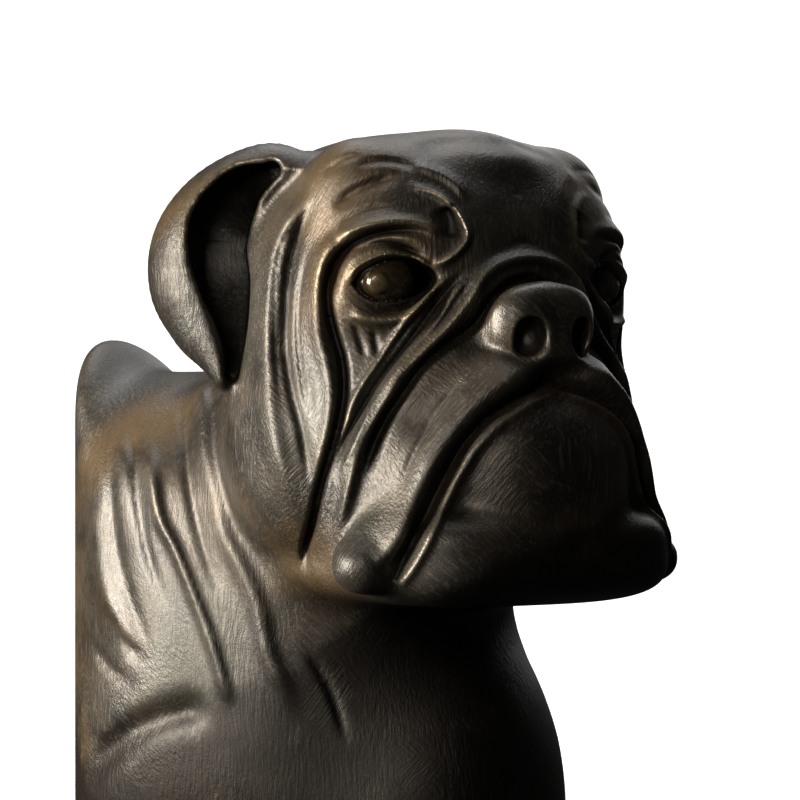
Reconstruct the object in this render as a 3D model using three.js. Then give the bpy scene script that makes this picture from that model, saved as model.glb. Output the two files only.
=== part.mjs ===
// A life-size bronze bust of a bulldog: head, neck, chest and shoulders in one casting, cut flat below.
// The form is one continuous skin. It is described by a signed distance (negative inside) that
// joins rounded masses, presses the folds of the face into them, and is then turned into facets.
import * as THREE from "three";

// Size and pose
const HEAD_HEIGHT = 213;               // mm, from the crown of the skull to the underside of the chin
const UNIT = HEAD_HEIGHT / 100;        // mm in one unit; all lengths below are hundredths of the head's height
const UNDERSIDE = -120;                // height of the flat underside, measured from between the eyes
const HEAD_TURN = 26;                  // degrees the head is turned to the dog's right of its body
const NECK_PIVOT = 54;                 // distance behind the eyes at which the head turns on the body
const BRONZE_COLOUR = 0x2b2620;

// The folds of the face are drawn in a three-quarter view of the head and pressed straight back from it.
const VIEW_TURN = 36;                  // degrees between the head's forward direction and that view
const VIEW_DISTANCE = 750;             // how far off the view is taken
const VIEW_ACROSS = 19.45;             // where the line of sight passes, beside the point between the eyes
const VIEW_BELOW = 24.5;               // and below it
const PIXEL = 100 / 473;               // one pixel of the photo, in units at the head
const EYES_PIXEL = [492, 284];         // the pixel of the point between the eyes

// Fineness of the facets
const BLOCK = 8;                       // grid cells along one side of a sampling block
const SETTLE_LIMIT = 0.45;             // how far a point may move onto the surface at a time
const RELAX_ROUNDS = 1;                // times the net is evened out
const FACETS = 9600;                   // triangles kept in the finished skin
// Stretches of the sampling grid along each axis: where each starts, its pitch, and where the last one ends
const FORWARD_GRID = { starts: [-123, -16], pitches: [2.2, 1.15], end: 30.7 };
const LEFT_GRID = { starts: [-61, -37.1, 37.3], pitches: [1.6, 1.15, 1.6], end: 61 };
const UP_GRID = { starts: [-122.17, -71.9], pitches: [2.2, 1.12], end: 35.3 };

// Rounded masses of the head: centre [forward, left, up], radii, squareness and how softly it joins.
// Those beside the middle are on the dog's right and are mirrored to its left.
const SKULL = { at: [-26, 0, 2], radii: [38, 38, 31.2], power: 2.45 };
const SKULL_PARTS = [
  { at: [-12.5, -19, 15.5], radii: [13, 17.5, 13], power: 2.2, soft: 8 },    // brow
  { at: [-13, -26, 21.8], radii: [10, 8, 8], power: 2, soft: 4 },            // bump above the brow
  { at: [-9, 0, 23.5], radii: [14, 14, 9], power: 2, soft: 5 },              // forehead
  { at: [-4.5, -24.5, 2], radii: [9.9, 13.1, 14], power: 2.3, soft: 6 },     // bone round the eye
  { at: [-26, -27, -22], radii: [24, 16, 34], power: 2.4, soft: 10 },        // cheek muscle
  { at: [-22, -30, -36], radii: [20, 15, 22], power: 2.2, soft: 8 },         // jowl
  { at: [-18, 0, -30], radii: [37.5, 40.5, 36], power: 2.05, soft: 5 },      // upper jaw
  { at: [-27, 0, -57], radii: [22, 33, 13], power: 2.4, soft: 6 },           // throat
];
const CHIN = { at: [-2, 0, -40], radii: [30.5, 27, 23], power: 2.4 };
const JAW_EDGE = { at: [-7, 0, -56.8], radii: [35, 36.3, 11], power: 3.6 };
const LIP_SIDE = { at: [1, -28, -45], radii: [17, 7.5, 17], power: 2.4, yaw: 21 };
const LIP_PATH = [[16, -11, -21.5], [14.2, -15.4, -27], [11.6, -20.6, -35], [9.4, -24.4, -44], [7, -29.5, -52],
  [4.2, -36.5, -57.5]];
const LIP_RADII = [6.6, 7.4, 7.6, 7.6, 7.4, 6.2];
const LIP_DROP = { at: [6.4, -36.5, -58.6], radii: [6.2, 7.5, 5.4], power: 2.2 };
const NOSE_BRIDGE = { at: [6.2, 0, -5], radii: [6, 15, 9], power: 2.2 };
const NOSE = { at: [15, 0, -8.6], radii: [8.6, 12.8, 9.6], power: 2.5 };
const NOSTRIL = { at: [21.5, -6.4, -11.6], radii: [5, 3.1, 3.9], power: 2.2 };
const EYE_SOCKET = { at: [3.6, -28.5, -0.2], radii: [6, 10.5, 6.2], power: 2 };
const EYELIDS = { at: [-2, -27.3, 0.1], radii: [6.9, 8.8, 6.9], power: 2 };
const EYE_OPENING = { at: [2.4, -30, 0.3], radii: [4.6, 7.8, 4.2], power: 2, yaw: -36 };
const EYEBALL = { at: [-1.6, -27.2, 0.2], radii: [5.6, 7.6, 5.7], power: 2 };

// Neck and body. The body's own frame has its origin under the neck pivot.
const NECK_PATH = [[-34, 0, -16], [-46, -1, -40], [-56, 0, -72], [-60, 4, -100]];
const NECK_RADII = [33, 35, 36.5, 40];
const TORSO = { at: [-22, 0, -82], radii: [53, 45, 62], power: 2.5 };
const CHEST = { at: [12.5, 0, -116], radii: [37.5, 36, 46], power: 2.2 };
const WITHERS = { at: [-74, 0, -70], radii: [42, 48, 63], power: 2 };
const NAPE = { at: [-40, 0, -50], radii: [26, 28, 31], power: 2.2 };
const SHOULDER = { at: [-34, -29, -70], radii: [28, 20, 30], power: 2.2 };
const REAR_CENTRE = -18;               // the rear is rounded off about this point
const REAR_LENGTH = 46;
const REAR_HALF_WIDTH = 43;
const REAR_SOFT = 6;

// Lines read off the three-quarter view, in pixels of the photo
const MOUTH_LINE = [[590, 366], [577, 371], [555, 376], [530, 389], [508, 402], [485, 419], [465, 441], [450, 465],
  [437, 490], [425, 515], [413, 541], [400, 563], [386, 580]];
const MUZZLE_ROLL = [[560, 262], [530, 257], [505, 262], [485, 275], [470, 300], [450, 325], [420, 355], [400, 375],
  [385, 400], [370, 425], [358, 450], [350, 480], [340, 520], [328, 550]];
const MUZZLE_FOLD = [[580, 288], [556, 275], [535, 277], [510, 284], [492, 299], [478, 320], [462, 334], [443, 347],
  [422, 366], [405, 390], [390, 411], [379, 432], [370, 455], [363, 482]];
const UNDER_EYE_RIDGE = [[484, 266], [458, 290], [436, 322], [410, 352], [390, 378], [374, 402], [358, 434],
  [345, 465], [335, 500]];
const UNDER_EYE_FOLD = [[466, 266], [450, 288], [430, 313], [410, 340], [395, 360], [380, 380], [365, 404],
  [350, 430], [338, 455], [328, 480]];
const INNER_RIDGE = [[465, 268], [440, 285], [420, 305], [400, 330], [380, 360], [362, 385], [350, 410], [343, 440]];
const CHEEK_FOLD = [[440, 234], [415, 230], [390, 231], [368, 236], [348, 247], [334, 264], [328, 285], [329, 310],
  [335, 335], [342, 360], [344, 385], [342, 406], [336, 432], [328, 460], [320, 490], [313, 522], [306, 548],
  [304, 580]];
const CHEEK_RIDGE = [[346, 232], [328, 248], [317, 280], [317, 330], [327, 370], [330, 405], [323, 450], [314, 490]];
const CHEEK_GROOVE = [[320, 190], [302, 225], [291, 262], [286, 310], [286, 352], [292, 390], [301, 425], [307, 460],
  [311, 500]];
const TEMPLE_RIDGE = [[312, 188], [290, 215], [276, 250], [269, 300], [266, 350], [269, 410], [280, 465], [295, 510]];
const BROW_EDGE = [[336, 243], [350, 231], [370, 224], [400, 221], [430, 226], [446, 236]];
const BROW_HOOK = [[400, 186], [420, 188], [440, 195], [455, 208], [464, 222], [468, 236], [460, 250], [446, 260],
  [430, 266]];
const BROW_HOLLOW = [[443, 206], [449, 222], [449, 240]];
const BROW_ARC = [[332, 210], [345, 198], [360, 189], [382, 181], [405, 177]];
const FOREHEAD_GROOVE = [[405, 152], [435, 146], [465, 143], [500, 146], [530, 155]];
const FOREHEAD_RIDGE = [[410, 163], [425, 168], [445, 176], [460, 188], [470, 205]];
const NECK_FOLD = [[197, 366], [201, 400], [204, 450], [215, 500], [224, 535], [241, 568], [256, 604], [268, 655],
  [284, 690], [295, 720]];
const COLLAR_RIDGE = [[151, 436], [153, 485], [160, 520], [175, 550], [195, 600], [210, 640], [222, 680], [232, 708]];
const SHOULDER_RIDGE = [[90, 470], [95, 540], [101, 580], [115, 620], [138, 655]];
const NAPE_RIDGE = [[222, 395], [226, 430], [226, 470]];
const SHOULDER_CREASE = [[215, 706], [180, 712], [140, 727], [105, 755], [75, 785]];
const EAR_MIDDLE = [[306, 168], [268, 172], [228, 203], [203, 243], [198, 285], [207, 325], [218, 356], [223, 380]];
const EAR_HALF_WIDTHS = [17, 30, 43, 50, 49, 38, 24, 10];
const EAR_BACKS = [-16, -22, -25, -26, -25, -21, -15, -8];
const EAR_FRONTS = [2, 0, 0, 0, 0.5, 1, 2, 3];
const POCKET_MIDDLE = [[272, 170], [243, 188], [222, 220], [218, 250], [225, 285], [232, 320], [234, 350], [232, 374]];
const POCKET_HALF_WIDTHS = [9, 22, 30, 29, 26, 17, 10, 6];
const POCKET_FLOORS = [-11, -16.5, -20, -20.5, -19, -15, -10, -4.5];
const LID_CREASE = [[335, 304], [335, 280], [345, 258], [362, 247], [386, 242], [410, 248], [428, 260]];
const EYE_BAG = [[348, 312], [362, 318], [380, 321], [402, 318], [422, 306], [436, 292]];

// Folds of the head: half width, height (raised above nought, pressed in below it), fades at both ends
const HEAD_FOLDS = [
  { line: MUZZLE_ROLL, width: 1.9, height: 2.3, fades: [0.06, 0.15] },
  { line: MUZZLE_FOLD, width: 1.7, height: -3, fades: [0.05, 0.12] },
  { line: LID_CREASE, width: 1.1, height: -1.4, fades: [0.2, 0.2] },
  { line: EYE_BAG, width: 1.1, height: 0.9, fades: [0.2, 0.2] },
  { line: UNDER_EYE_RIDGE, width: 1, height: 1.3, fades: [0.2, 0.2] },
  { line: UNDER_EYE_FOLD, width: 1.1, height: -1.2, fades: [0.2, 0.15] },
  { line: INNER_RIDGE, width: 1.3, height: 1.5, fades: [0.25, 0.2] },
  { line: CHEEK_FOLD, width: 1.75, height: -3, fades: [0.12, 0.04] },
  { line: CHEEK_RIDGE, width: 1.8, height: 1.6, fades: [0.2, 0.2] },
  { line: CHEEK_GROOVE, width: 1.2, height: -1.3, fades: [0.2, 0.2] },
  { line: TEMPLE_RIDGE, width: 2.4, height: 1.8, fades: [0.2, 0.2] },
  { line: BROW_EDGE, width: 1.3, height: 1.4, fades: [0.2, 0.2] },
  { line: BROW_HOOK, width: 1.05, height: 2, fades: [0.3, 0.2] },
  { line: BROW_HOLLOW, width: 2, height: -2.1, fades: [0.2, 0.2] },
  { line: BROW_ARC, width: 1.2, height: -1.1, fades: [0.3, 0.3] },
  { line: FOREHEAD_GROOVE, width: 1.6, height: -0.8, fades: [0.3, 0.3] },
  { line: FOREHEAD_RIDGE, width: 1.1, height: 0.9, fades: [0.3, 0.3] },
];
const BODY_FOLDS = [
  { line: NECK_FOLD, width: 2.2, height: 1.6, fades: [0.1, 0.2] },
  { line: COLLAR_RIDGE, width: 1.3, height: 1.4, fades: [0.15, 0.15] },
  { line: SHOULDER_RIDGE, width: 2, height: 1.2, fades: [0.2, 0.2] },
  { line: NAPE_RIDGE, width: 1.6, height: 0.9, fades: [0.3, 0.3] },
  { line: SHOULDER_CREASE, width: 3, height: -2.4, fades: [0.2, 0.1] },
];

const radians = (degrees) => (degrees * Math.PI) / 180;
const VIEW_SIN = Math.sin(radians(VIEW_TURN));
const VIEW_COS = Math.cos(radians(VIEW_TURN));
const TURN_SIN = Math.sin(radians(HEAD_TURN));
const TURN_COS = Math.cos(radians(HEAD_TURN));
const FAR_AWAY = 1000;
const OUT_OF_REACH = 16;

const drawn = (pixels) => pixels.map(([x, y]) => [(x - EYES_PIXEL[0]) * PIXEL, (EYES_PIXEL[1] - y) * PIXEL]);
const clamp = (value, low, high) => Math.min(Math.max(value, low), high);

function smoothStep(value, low, high) {
  const share = clamp((value - low) / (high - low), 0, 1);
  return share * share * (3 - 2 * share);
}

// Smooth union and smooth removal of two signed distances
function blend(a, b, soft) {
  const near = Math.max(soft - Math.abs(a - b), 0) / soft;
  return Math.min(a, b) - (near * near * soft) / 4;
}

const cut = (a, b, soft) => -blend(-a, b, soft);

// Signed distance, near enough, to an ellipsoid whose sides are squared up by its power
function mass(point, { at, radii, power, yaw }) {
  let forward = point[0] - at[0];
  let left = point[1] - at[1];
  const up = point[2] - at[2];
  if (yaw) {
    const c = Math.cos(radians(yaw));
    const s = Math.sin(radians(yaw));
    [forward, left] = [c * forward + s * left, -s * forward + c * left];
  }
  const outside = Math.max(Math.abs(forward) - radii[0], Math.abs(left) - radii[1], Math.abs(up) - radii[2]);
  if (outside > OUT_OF_REACH) return outside;
  const a = Math.abs(forward / radii[0]) + 1e-4;
  const b = Math.abs(left / radii[1]) + 1e-4;
  const c = Math.abs(up / radii[2]) + 1e-4;
  const risingA = a ** (power - 1);
  const risingB = b ** (power - 1);
  const risingC = c ** (power - 1);
  const total = a * risingA + b * risingB + c * risingC;
  const scale = total ** (1 / power);
  const x = risingA / radii[0];
  const y = risingB / radii[1];
  const z = risingC / radii[2];
  return ((scale - 1) * total) / (scale * Math.sqrt(x * x + y * y + z * z));
}

// A smooth curve through points of any number of values
function smoothCurve(points, steps) {
  const first = points[0].map((v, i) => 2 * v - points[1][i]);
  const last = points.at(-1).map((v, i) => 2 * v - points.at(-2)[i]);
  const all = [first, ...points, last];
  const curve = [];
  for (let i = 0; i + 3 < all.length; i += 1) {
    const [a, b, c, d] = all.slice(i, i + 4);
    for (let k = 0; k < steps; k += 1) {
      const t = k / steps;
      curve.push(b.map((v, j) => 0.5 * (2 * v + (c[j] - a[j]) * t + (2 * a[j] - 5 * v + 4 * c[j] - d[j]) * t * t
        + (3 * v - a[j] - 3 * c[j] + d[j]) * t ** 3)));
    }
  }
  curve.push(points.at(-1));
  return curve;
}

// A curve drawn in the view, with the box outside which it has no effect
function drawnCurve(pixels, reach, steps = 5) {
  const points = smoothCurve(drawn(pixels), steps);
  const xs = points.map((p) => p[0]);
  const ys = points.map((p) => p[1]);
  const box = [Math.min(...xs) - reach, Math.max(...xs) + reach, Math.min(...ys) - reach, Math.max(...ys) + reach];
  return { points, box };
}

// Distance from a place in the view to a drawn curve (above nought on its left) and the share of the way along
function along([x, y], { points, box }) {
  if (x < box[0] || x > box[1] || y < box[2] || y > box[3]) return null;
  let best = Infinity;
  let side = 1;
  let share = 0;
  for (let i = 0; i + 1 < points.length; i += 1) {
    const [ax, ay] = points[i];
    const ex = points[i + 1][0] - ax;
    const ey = points[i + 1][1] - ay;
    const t = clamp(((x - ax) * ex + (y - ay) * ey) / (ex * ex + ey * ey), 0, 1);
    const dx = x - ax - t * ex;
    const dy = y - ay - t * ey;
    const square = dx * dx + dy * dy;
    if (square < best) {
      best = square;
      side = Math.sign(ex * (y - ay) - ey * (x - ax)) || 1;
      share = (i + t) / (points.length - 1);
    }
  }
  const distance = Math.sqrt(best);
  return { distance, signed: distance * side, share };
}

// A round rope through points in space, its radius carried along
function ropeOf(path, radii, steps, reach) {
  const points = smoothCurve(path.map((p, i) => [...p, radii[i]]), steps);
  const widest = Math.max(...points.map((p) => p[3])) + reach;
  const low = [0, 1, 2].map((i) => Math.min(...points.map((p) => p[i])) - widest);
  const high = [0, 1, 2].map((i) => Math.max(...points.map((p) => p[i])) + widest);
  return { points, low, high };
}

function rope(point, { points, low, high }) {
  for (let i = 0; i < 3; i += 1) {
    if (point[i] < low[i] || point[i] > high[i]) return FAR_AWAY;
  }
  let best = FAR_AWAY;
  for (let i = 0; i + 1 < points.length; i += 1) {
    const a = points[i];
    const b = points[i + 1];
    const ex = b[0] - a[0];
    const ey = b[1] - a[1];
    const ez = b[2] - a[2];
    const wx = point[0] - a[0];
    const wy = point[1] - a[1];
    const wz = point[2] - a[2];
    const t = clamp((wx * ex + wy * ey + wz * ez) / (ex * ex + ey * ey + ez * ez), 0, 1);
    const away = Math.sqrt((wx - t * ex) ** 2 + (wy - t * ey) ** 2 + (wz - t * ez) ** 2);
    best = Math.min(best, away - a[3] - (b[3] - a[3]) * t);
  }
  return best;
}

const profile = (distance, width) => Math.exp(-((distance / width) ** 2));

function fade(share, [start, end]) {
  return smoothStep(share, 0, start) * smoothStep(1 - share, 0, end);
}

// The value of a list at a share of the way along it
function valueAt(list, share) {
  const place = share * (list.length - 1);
  const i = Math.min(Math.floor(place), list.length - 2);
  return list[i] + (list[i + 1] - list[i]) * (place - i);
}

// Where a point is seen in the view, and how near it is to the viewer
function seen([forward, left, up]) {
  const across = forward * VIEW_SIN + left * VIEW_COS;
  const near = forward * VIEW_COS - left * VIEW_SIN;
  const scale = 1 - near / VIEW_DISTANCE;
  return { place: [(across + VIEW_ACROSS) / scale - VIEW_ACROSS, (up + VIEW_BELOW) / scale - VIEW_BELOW], near };
}

const withCurve = (fold) => ({ ...fold, curve: drawnCurve(fold.line, 3.2 * fold.width + 1) });
const headFolds = HEAD_FOLDS.map(withCurve);
const bodyFolds = BODY_FOLDS.map(withCurve);
const mouthCurve = drawnCurve(MOUTH_LINE, 14);
const earCurve = drawnCurve(EAR_MIDDLE, 34, 6);
const pocketCurve = drawnCurve(POCKET_MIDDLE, 14, 6);
const lipRope = ropeOf(LIP_PATH, LIP_RADII, 6, 14);
const neckRope = ropeOf(NECK_PATH, NECK_RADII, 8, 34);

function foldsAt(place, folds) {
  let raised = 0;
  for (const { curve, width, height, fades } of folds) {
    const hit = along(place, curve);
    if (hit) raised += height * fade(hit.share, fades) * profile(hit.distance, width);
  }
  return raised;
}

// The closed mouth: a deep groove with a rolled lip above and below
function mouthAt(place) {
  const hit = along(place, mouthCurve);
  if (!hit) return 0;
  const depth = 1.4 + 2.6 * smoothStep(hit.share, 0.02, 0.3);
  const groove = depth * profile(hit.distance, 1.8);
  const lowerLip = profile(hit.signed - 2.9, 1.2);
  const upperLip = 1.7 * profile(hit.signed + 3.8, 2.6);
  return fade(hit.share, [0.03, 0.04]) * (groove - lowerLip - upperLip);
}

// The hanging ear: a rounded flap about its middle line, between a back and a front depth
function earAt(place, near) {
  const hit = along(place, earCurve);
  if (!hit) return 60;
  const wide = valueAt(EAR_HALF_WIDTHS, hit.share) * PIXEL;
  const back = valueAt(EAR_BACKS, hit.share);
  const front = valueAt(EAR_FRONTS, hit.share);
  const round = Math.min(wide, (front - back) / 2) * 0.98;
  const x = hit.distance - wide + round;
  const y = Math.abs(near - (back + front) / 2) - (front - back) / 2 + round;
  return Math.hypot(Math.max(x, 0), Math.max(y, 0)) + Math.min(Math.max(x, y), 0) - round;
}

// The deep hollow between the ear's rim and the side of the head
function pocketAt(place, near) {
  const hit = along(place, pocketCurve);
  if (!hit) return 60;
  const wide = valueAt(POCKET_HALF_WIDTHS, hit.share) * PIXEL;
  return Math.max(hit.distance - wide, valueAt(POCKET_FLOORS, hit.share) - near);
}

function headAt(point) {
  const q = [point[0], -Math.abs(point[1]), point[2]];
  const { place, near } = seen(q);
  const front = smoothStep(near, -16, -6);
  let d = mass(q, SKULL);
  for (const part of SKULL_PARTS) d = blend(d, mass(q, part), part.soft);
  d = blend(d, blend(mass(q, CHIN), mass(q, JAW_EDGE), 4), 3);
  d = blend(d, blend(mass(q, LIP_SIDE), rope(q, lipRope), 2.5), 3);
  d = blend(d, mass(q, NOSE_BRIDGE), 6);
  d = blend(d, mass(q, NOSE), 1.6);
  d = cut(d, mass(q, EYE_SOCKET), 3);
  d = blend(d, mass(q, EYELIDS), 2);
  if (front > 0) d += front * (mouthAt(place) - foldsAt(place, headFolds));
  d = blend(d, mass(q, LIP_DROP), 1.6);
  d = cut(d, mass(q, EYE_OPENING), 0.8);
  d = Math.min(d, mass(q, EYEBALL));
  d = cut(d, mass(q, NOSTRIL), 1);
  d = blend(d, earAt(place, near), 3);
  return cut(d, pocketAt(place, near), 1.6);
}

// From the head's frame to the body's, which lies straight under the neck pivot
function toBody([forward, left, up]) {
  const x = forward + NECK_PIVOT;
  return [x * TURN_COS + left * TURN_SIN, -x * TURN_SIN + left * TURN_COS, up];
}

function bodyAt(point) {
  const b = toBody(point);
  const q = [b[0], -Math.abs(b[1]), b[2]];
  let d = blend(mass(b, TORSO), mass(b, CHEST), 8);
  d = blend(d, mass(b, WITHERS), 7);
  d = blend(d, mass(b, NAPE), 8);
  d = blend(d, mass(q, SHOULDER), 10);
  const behind = Math.min(b[0] - REAR_CENTRE, 0) / REAR_LENGTH;
  const rear = (Math.hypot(behind, b[1] / REAR_HALF_WIDTH) - 1) * 48;
  return cut(d, -rear, REAR_SOFT);
}

function bustAt(point) {
  let trunk = blend(rope(point, neckRope), bodyAt(point), 12);
  const { place, near } = seen(point);
  const front = smoothStep(near, -40, -28);
  if (front > 0) trunk -= front * foldsAt(place, bodyFolds);
  return Math.max(blend(headAt(point), trunk, 5), UNDERSIDE - point[2]);
}

// Grid places along one axis: each stretch has its own pitch, fitted so that it holds whole blocks
function gridPlaces({ starts, pitches, end }) {
  const places = [starts[0]];
  starts.forEach((start, i) => {
    const stop = i + 1 < starts.length ? starts[i + 1] : end;
    const count = Math.max(1, Math.round((stop - start) / pitches[i] / BLOCK)) * BLOCK;
    for (let n = 1; n <= count; n += 1) places.push(start + ((stop - start) * n) / count);
  });
  return places;
}

const grid = [FORWARD_GRID, LEFT_GRID, UP_GRID].map(gridPlaces);

// The form sampled on the grid, worked out only in the blocks that the surface passes through
function sampled(field) {
  const counts = grid.map((places) => places.length);
  const values = new Float32Array(counts[0] * counts[1] * counts[2]).fill(NaN);
  const index = (i, j, k) => (i * counts[1] + j) * counts[2] + k;
  const position = (i, j, k) => [grid[0][i], grid[1][j], grid[2][k]];
  for (let bi = 0; bi + 1 < counts[0]; bi += BLOCK) {
    for (let bj = 0; bj + 1 < counts[1]; bj += BLOCK) {
      for (let bk = 0; bk + 1 < counts[2]; bk += BLOCK) {
        const low = position(bi, bj, bk);
        const high = position(bi + BLOCK, bj + BLOCK, bk + BLOCK);
        const middle = field(low.map((v, n) => (v + high[n]) / 2));
        const reach = Math.hypot(...low.map((v, n) => high[n] - v)) / 2 + 5;
        const passes = Math.abs(middle) < reach;
        for (let i = bi; i <= bi + BLOCK; i += 1) {
          for (let j = bj; j <= bj + BLOCK; j += 1) {
            for (let k = bk; k <= bk + BLOCK; k += 1) {
              const at = index(i, j, k);
              const known = values[at];
              if (passes && (Number.isNaN(known) || Math.abs(known) > 40)) {
                values[at] = clamp(field(position(i, j, k)) || 1e-6, -39, 39);
              } else if (Number.isNaN(known)) {
                values[at] = middle < 0 ? -50 : 50;
              }
            }
          }
        }
      }
    }
  }
  return { counts, values, index };
}

// Where two corners of a grid square are inside and the two between them are not, the surface would touch
// itself; the outside corner nearest the surface is filled, until no such square is left
function untangle({ counts, values, index }) {
  for (let round = 0, changed = true; changed && round < 20; round += 1) {
    changed = false;
    for (let i = 0; i < counts[0]; i += 1) {
      for (let j = 0; j < counts[1]; j += 1) {
        for (let k = 0; k < counts[2]; k += 1) {
          for (const [a, b] of [[[1, 0, 0], [0, 1, 0]], [[0, 1, 0], [0, 0, 1]], [[0, 0, 1], [1, 0, 0]]]) {
            const far = [i + a[0] + b[0], j + a[1] + b[1], k + a[2] + b[2]];
            if (far.some((v, n) => v >= counts[n])) continue;
            const square = [index(i, j, k), index(i + a[0], j + a[1], k + a[2]), index(...far),
              index(i + b[0], j + b[1], k + b[2])];
            const [p, q, r, s] = square.map((at) => values[at] < 0);
            if (p !== r || q !== s || p === q) continue;
            const [one, two] = square.filter((at) => values[at] >= 0);
            values[values[one] < values[two] ? one : two] = -0.05;
            changed = true;
          }
        }
      }
    }
  }
}

// One point in every grid cell that the surface crosses, and a four-sided face round every crossed grid edge
function netOf({ counts, values, index }) {
  const pointOf = new Map();
  const points = [];
  const corners = [[0, 0, 0], [1, 0, 0], [0, 1, 0], [1, 1, 0], [0, 0, 1], [1, 0, 1], [0, 1, 1], [1, 1, 1]];
  const edges = [];
  for (let a = 0; a < 8; a += 1) {
    for (let axis = 0; axis < 3; axis += 1) {
      if (!corners[a][axis]) edges.push([a, a + 2 ** axis, axis]);
    }
  }
  const value = (i, j, k) => values[index(i, j, k)];
  for (let i = 0; i + 1 < counts[0]; i += 1) {
    for (let j = 0; j + 1 < counts[1]; j += 1) {
      for (let k = 0; k + 1 < counts[2]; k += 1) {
        const v = corners.map(([a, b, c]) => value(i + a, j + b, k + c));
        const inside = v.filter((d) => d < 0).length;
        if (inside === 0 || inside === 8) continue;
        const sum = [0, 0, 0];
        let crossed = 0;
        for (const [a, b, axis] of edges) {
          if (v[a] < 0 === v[b] < 0) continue;
          const place = [...corners[a]];
          place[axis] += v[a] / (v[a] - v[b]);
          for (let n = 0; n < 3; n += 1) sum[n] += place[n];
          crossed += 1;
        }
        pointOf.set(index(i, j, k), points.length);
        points.push([i, j, k].map((n, axis) => {
          const start = grid[axis][n];
          return start + (grid[axis][n + 1] - start) * (sum[axis] / crossed);
        }));
      }
    }
  }
  const faces = [];
  for (let i = 1; i + 1 < counts[0]; i += 1) {
    for (let j = 1; j + 1 < counts[1]; j += 1) {
      for (let k = 1; k + 1 < counts[2]; k += 1) {
        const inside = value(i, j, k) < 0;
        for (let axis = 0; axis < 3; axis += 1) {
          const next = [i, j, k];
          next[axis] += 1;
          if (inside === value(...next) < 0) continue;
          const one = (axis + 1) % 3;
          const two = (axis + 2) % 3;
          const ring = [[-1, -1], [0, -1], [0, 0], [-1, 0]].map(([a, b]) => {
            const cell = [i, j, k];
            cell[one] += a;
            cell[two] += b;
            return pointOf.get(index(...cell));
          });
          faces.push(inside ? ring : ring.reverse());
        }
      }
    }
  }
  return { points, faces };
}

// Evens out the net: every point drawn halfway to the mean of its neighbours, the underside's edge kept
function relax(points, faces) {
  const sums = points.map(() => [0, 0, 0, 0]);
  for (const face of faces) {
    face.forEach((at, i) => {
      const next = face[(i + 1) % 4];
      for (let axis = 0; axis < 3; axis += 1) sums[at][axis] += points[next][axis];
      sums[at][3] += 1;
    });
  }
  points.forEach((point, i) => {
    if (point[2] < UNDERSIDE + 3) return;
    for (let axis = 0; axis < 3; axis += 1) point[axis] = (point[axis] + sums[i][axis] / sums[i][3]) / 2;
  });
}

// Moves every point onto the surface along the form's slope, and those at the underside flat onto it
function settle(points, field) {
  const step = 0.15;
  for (const point of points) {
    for (let round = 0; round < 2; round += 1) {
      const d = field(point);
      const slope = [0, 1, 2].map((axis) => {
        const ahead = [...point];
        const behind = [...point];
        ahead[axis] += step;
        behind[axis] -= step;
        return (field(ahead) - field(behind)) / (2 * step);
      });
      const square = Math.max(slope.reduce((sum, v) => sum + v * v, 0), 0.2);
      const move = slope.map((v) => (-v * d) / square);
      const limit = Math.min(1, SETTLE_LIMIT / Math.max(Math.hypot(...move), 1e-9));
      for (let axis = 0; axis < 3; axis += 1) point[axis] += move[axis] * limit;
    }
    if (point[2] < UNDERSIDE + SETTLE_LIMIT) point[2] = UNDERSIDE;
  }
}

// Four-sided faces split along their shorter diagonal
function triangles(points, faces) {
  const away = (a, b) => Math.hypot(...points[a].map((v, i) => v - points[b][i]));
  return faces.flatMap(([a, b, c, d]) => (away(a, c) <= away(b, d) ? [[a, b, c], [a, c, d]] : [[a, b, d], [b, c, d]]));
}

const minus = (a, b) => [a[0] - b[0], a[1] - b[1], a[2] - b[2]];
const cross = (a, b) => [a[1] * b[2] - a[2] * b[1], a[2] * b[0] - a[0] * b[2], a[0] * b[1] - a[1] * b[0]];
const dot = (a, b) => a[0] * b[0] + a[1] * b[1] + a[2] * b[2];

// Error of a place against the planes gathered in a ten-value sum
function planeError(e, [x, y, z]) {
  return e[0] * x * x + 2 * e[1] * x * y + 2 * e[2] * x * z + 2 * e[3] * x + e[4] * y * y + 2 * e[5] * y * z
    + 2 * e[6] * y + e[7] * z * z + 2 * e[8] * z + e[9];
}

// The place with the least error, or nothing if the planes do not fix one
function leastPlace(e) {
  const rows = [[e[0], e[1], e[2]], [e[1], e[4], e[5]], [e[2], e[5], e[7]]];
  const right = [-e[3], -e[6], -e[8]];
  const whole = dot(rows[0], cross(rows[1], rows[2]));
  const size = (e[0] + e[4] + e[7]) ** 3;
  if (Math.abs(whole) < 1e-4 * size) return null;
  return [0, 1, 2].map((column) => {
    const swapped = rows.map((row, i) => row.map((v, j) => (j === column ? right[i] : v)));
    return dot(swapped[0], cross(swapped[1], swapped[2])) / whole;
  });
}

// A list kept so that its first entry always has the least cost
class Queue {
  constructor() {
    this.items = [];
  }

  push(item) {
    const list = this.items;
    let at = list.push(item) - 1;
    while (at > 0) {
      const up = (at - 1) >> 1;
      if (list[up].cost <= item.cost) break;
      list[at] = list[up];
      at = up;
    }
    list[at] = item;
  }

  pop() {
    const list = this.items;
    const top = list[0];
    const last = list.pop();
    if (list.length) {
      let at = 0;
      for (;;) {
        let down = 2 * at + 1;
        if (down >= list.length) break;
        if (down + 1 < list.length && list[down + 1].cost < list[down].cost) down += 1;
        if (list[down].cost >= last.cost) break;
        list[at] = list[down];
        at = down;
      }
      list[at] = last;
    }
    return top;
  }
}

// How much a facet counts: the face is kept finer than the trunk, and the underside stays flat
function weightOf(middle) {
  if (middle[2] < UNDERSIDE + 0.01) return 400;
  return middle[2] > -70 && middle[0] > -60 ? 4 : 1;
}

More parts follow.
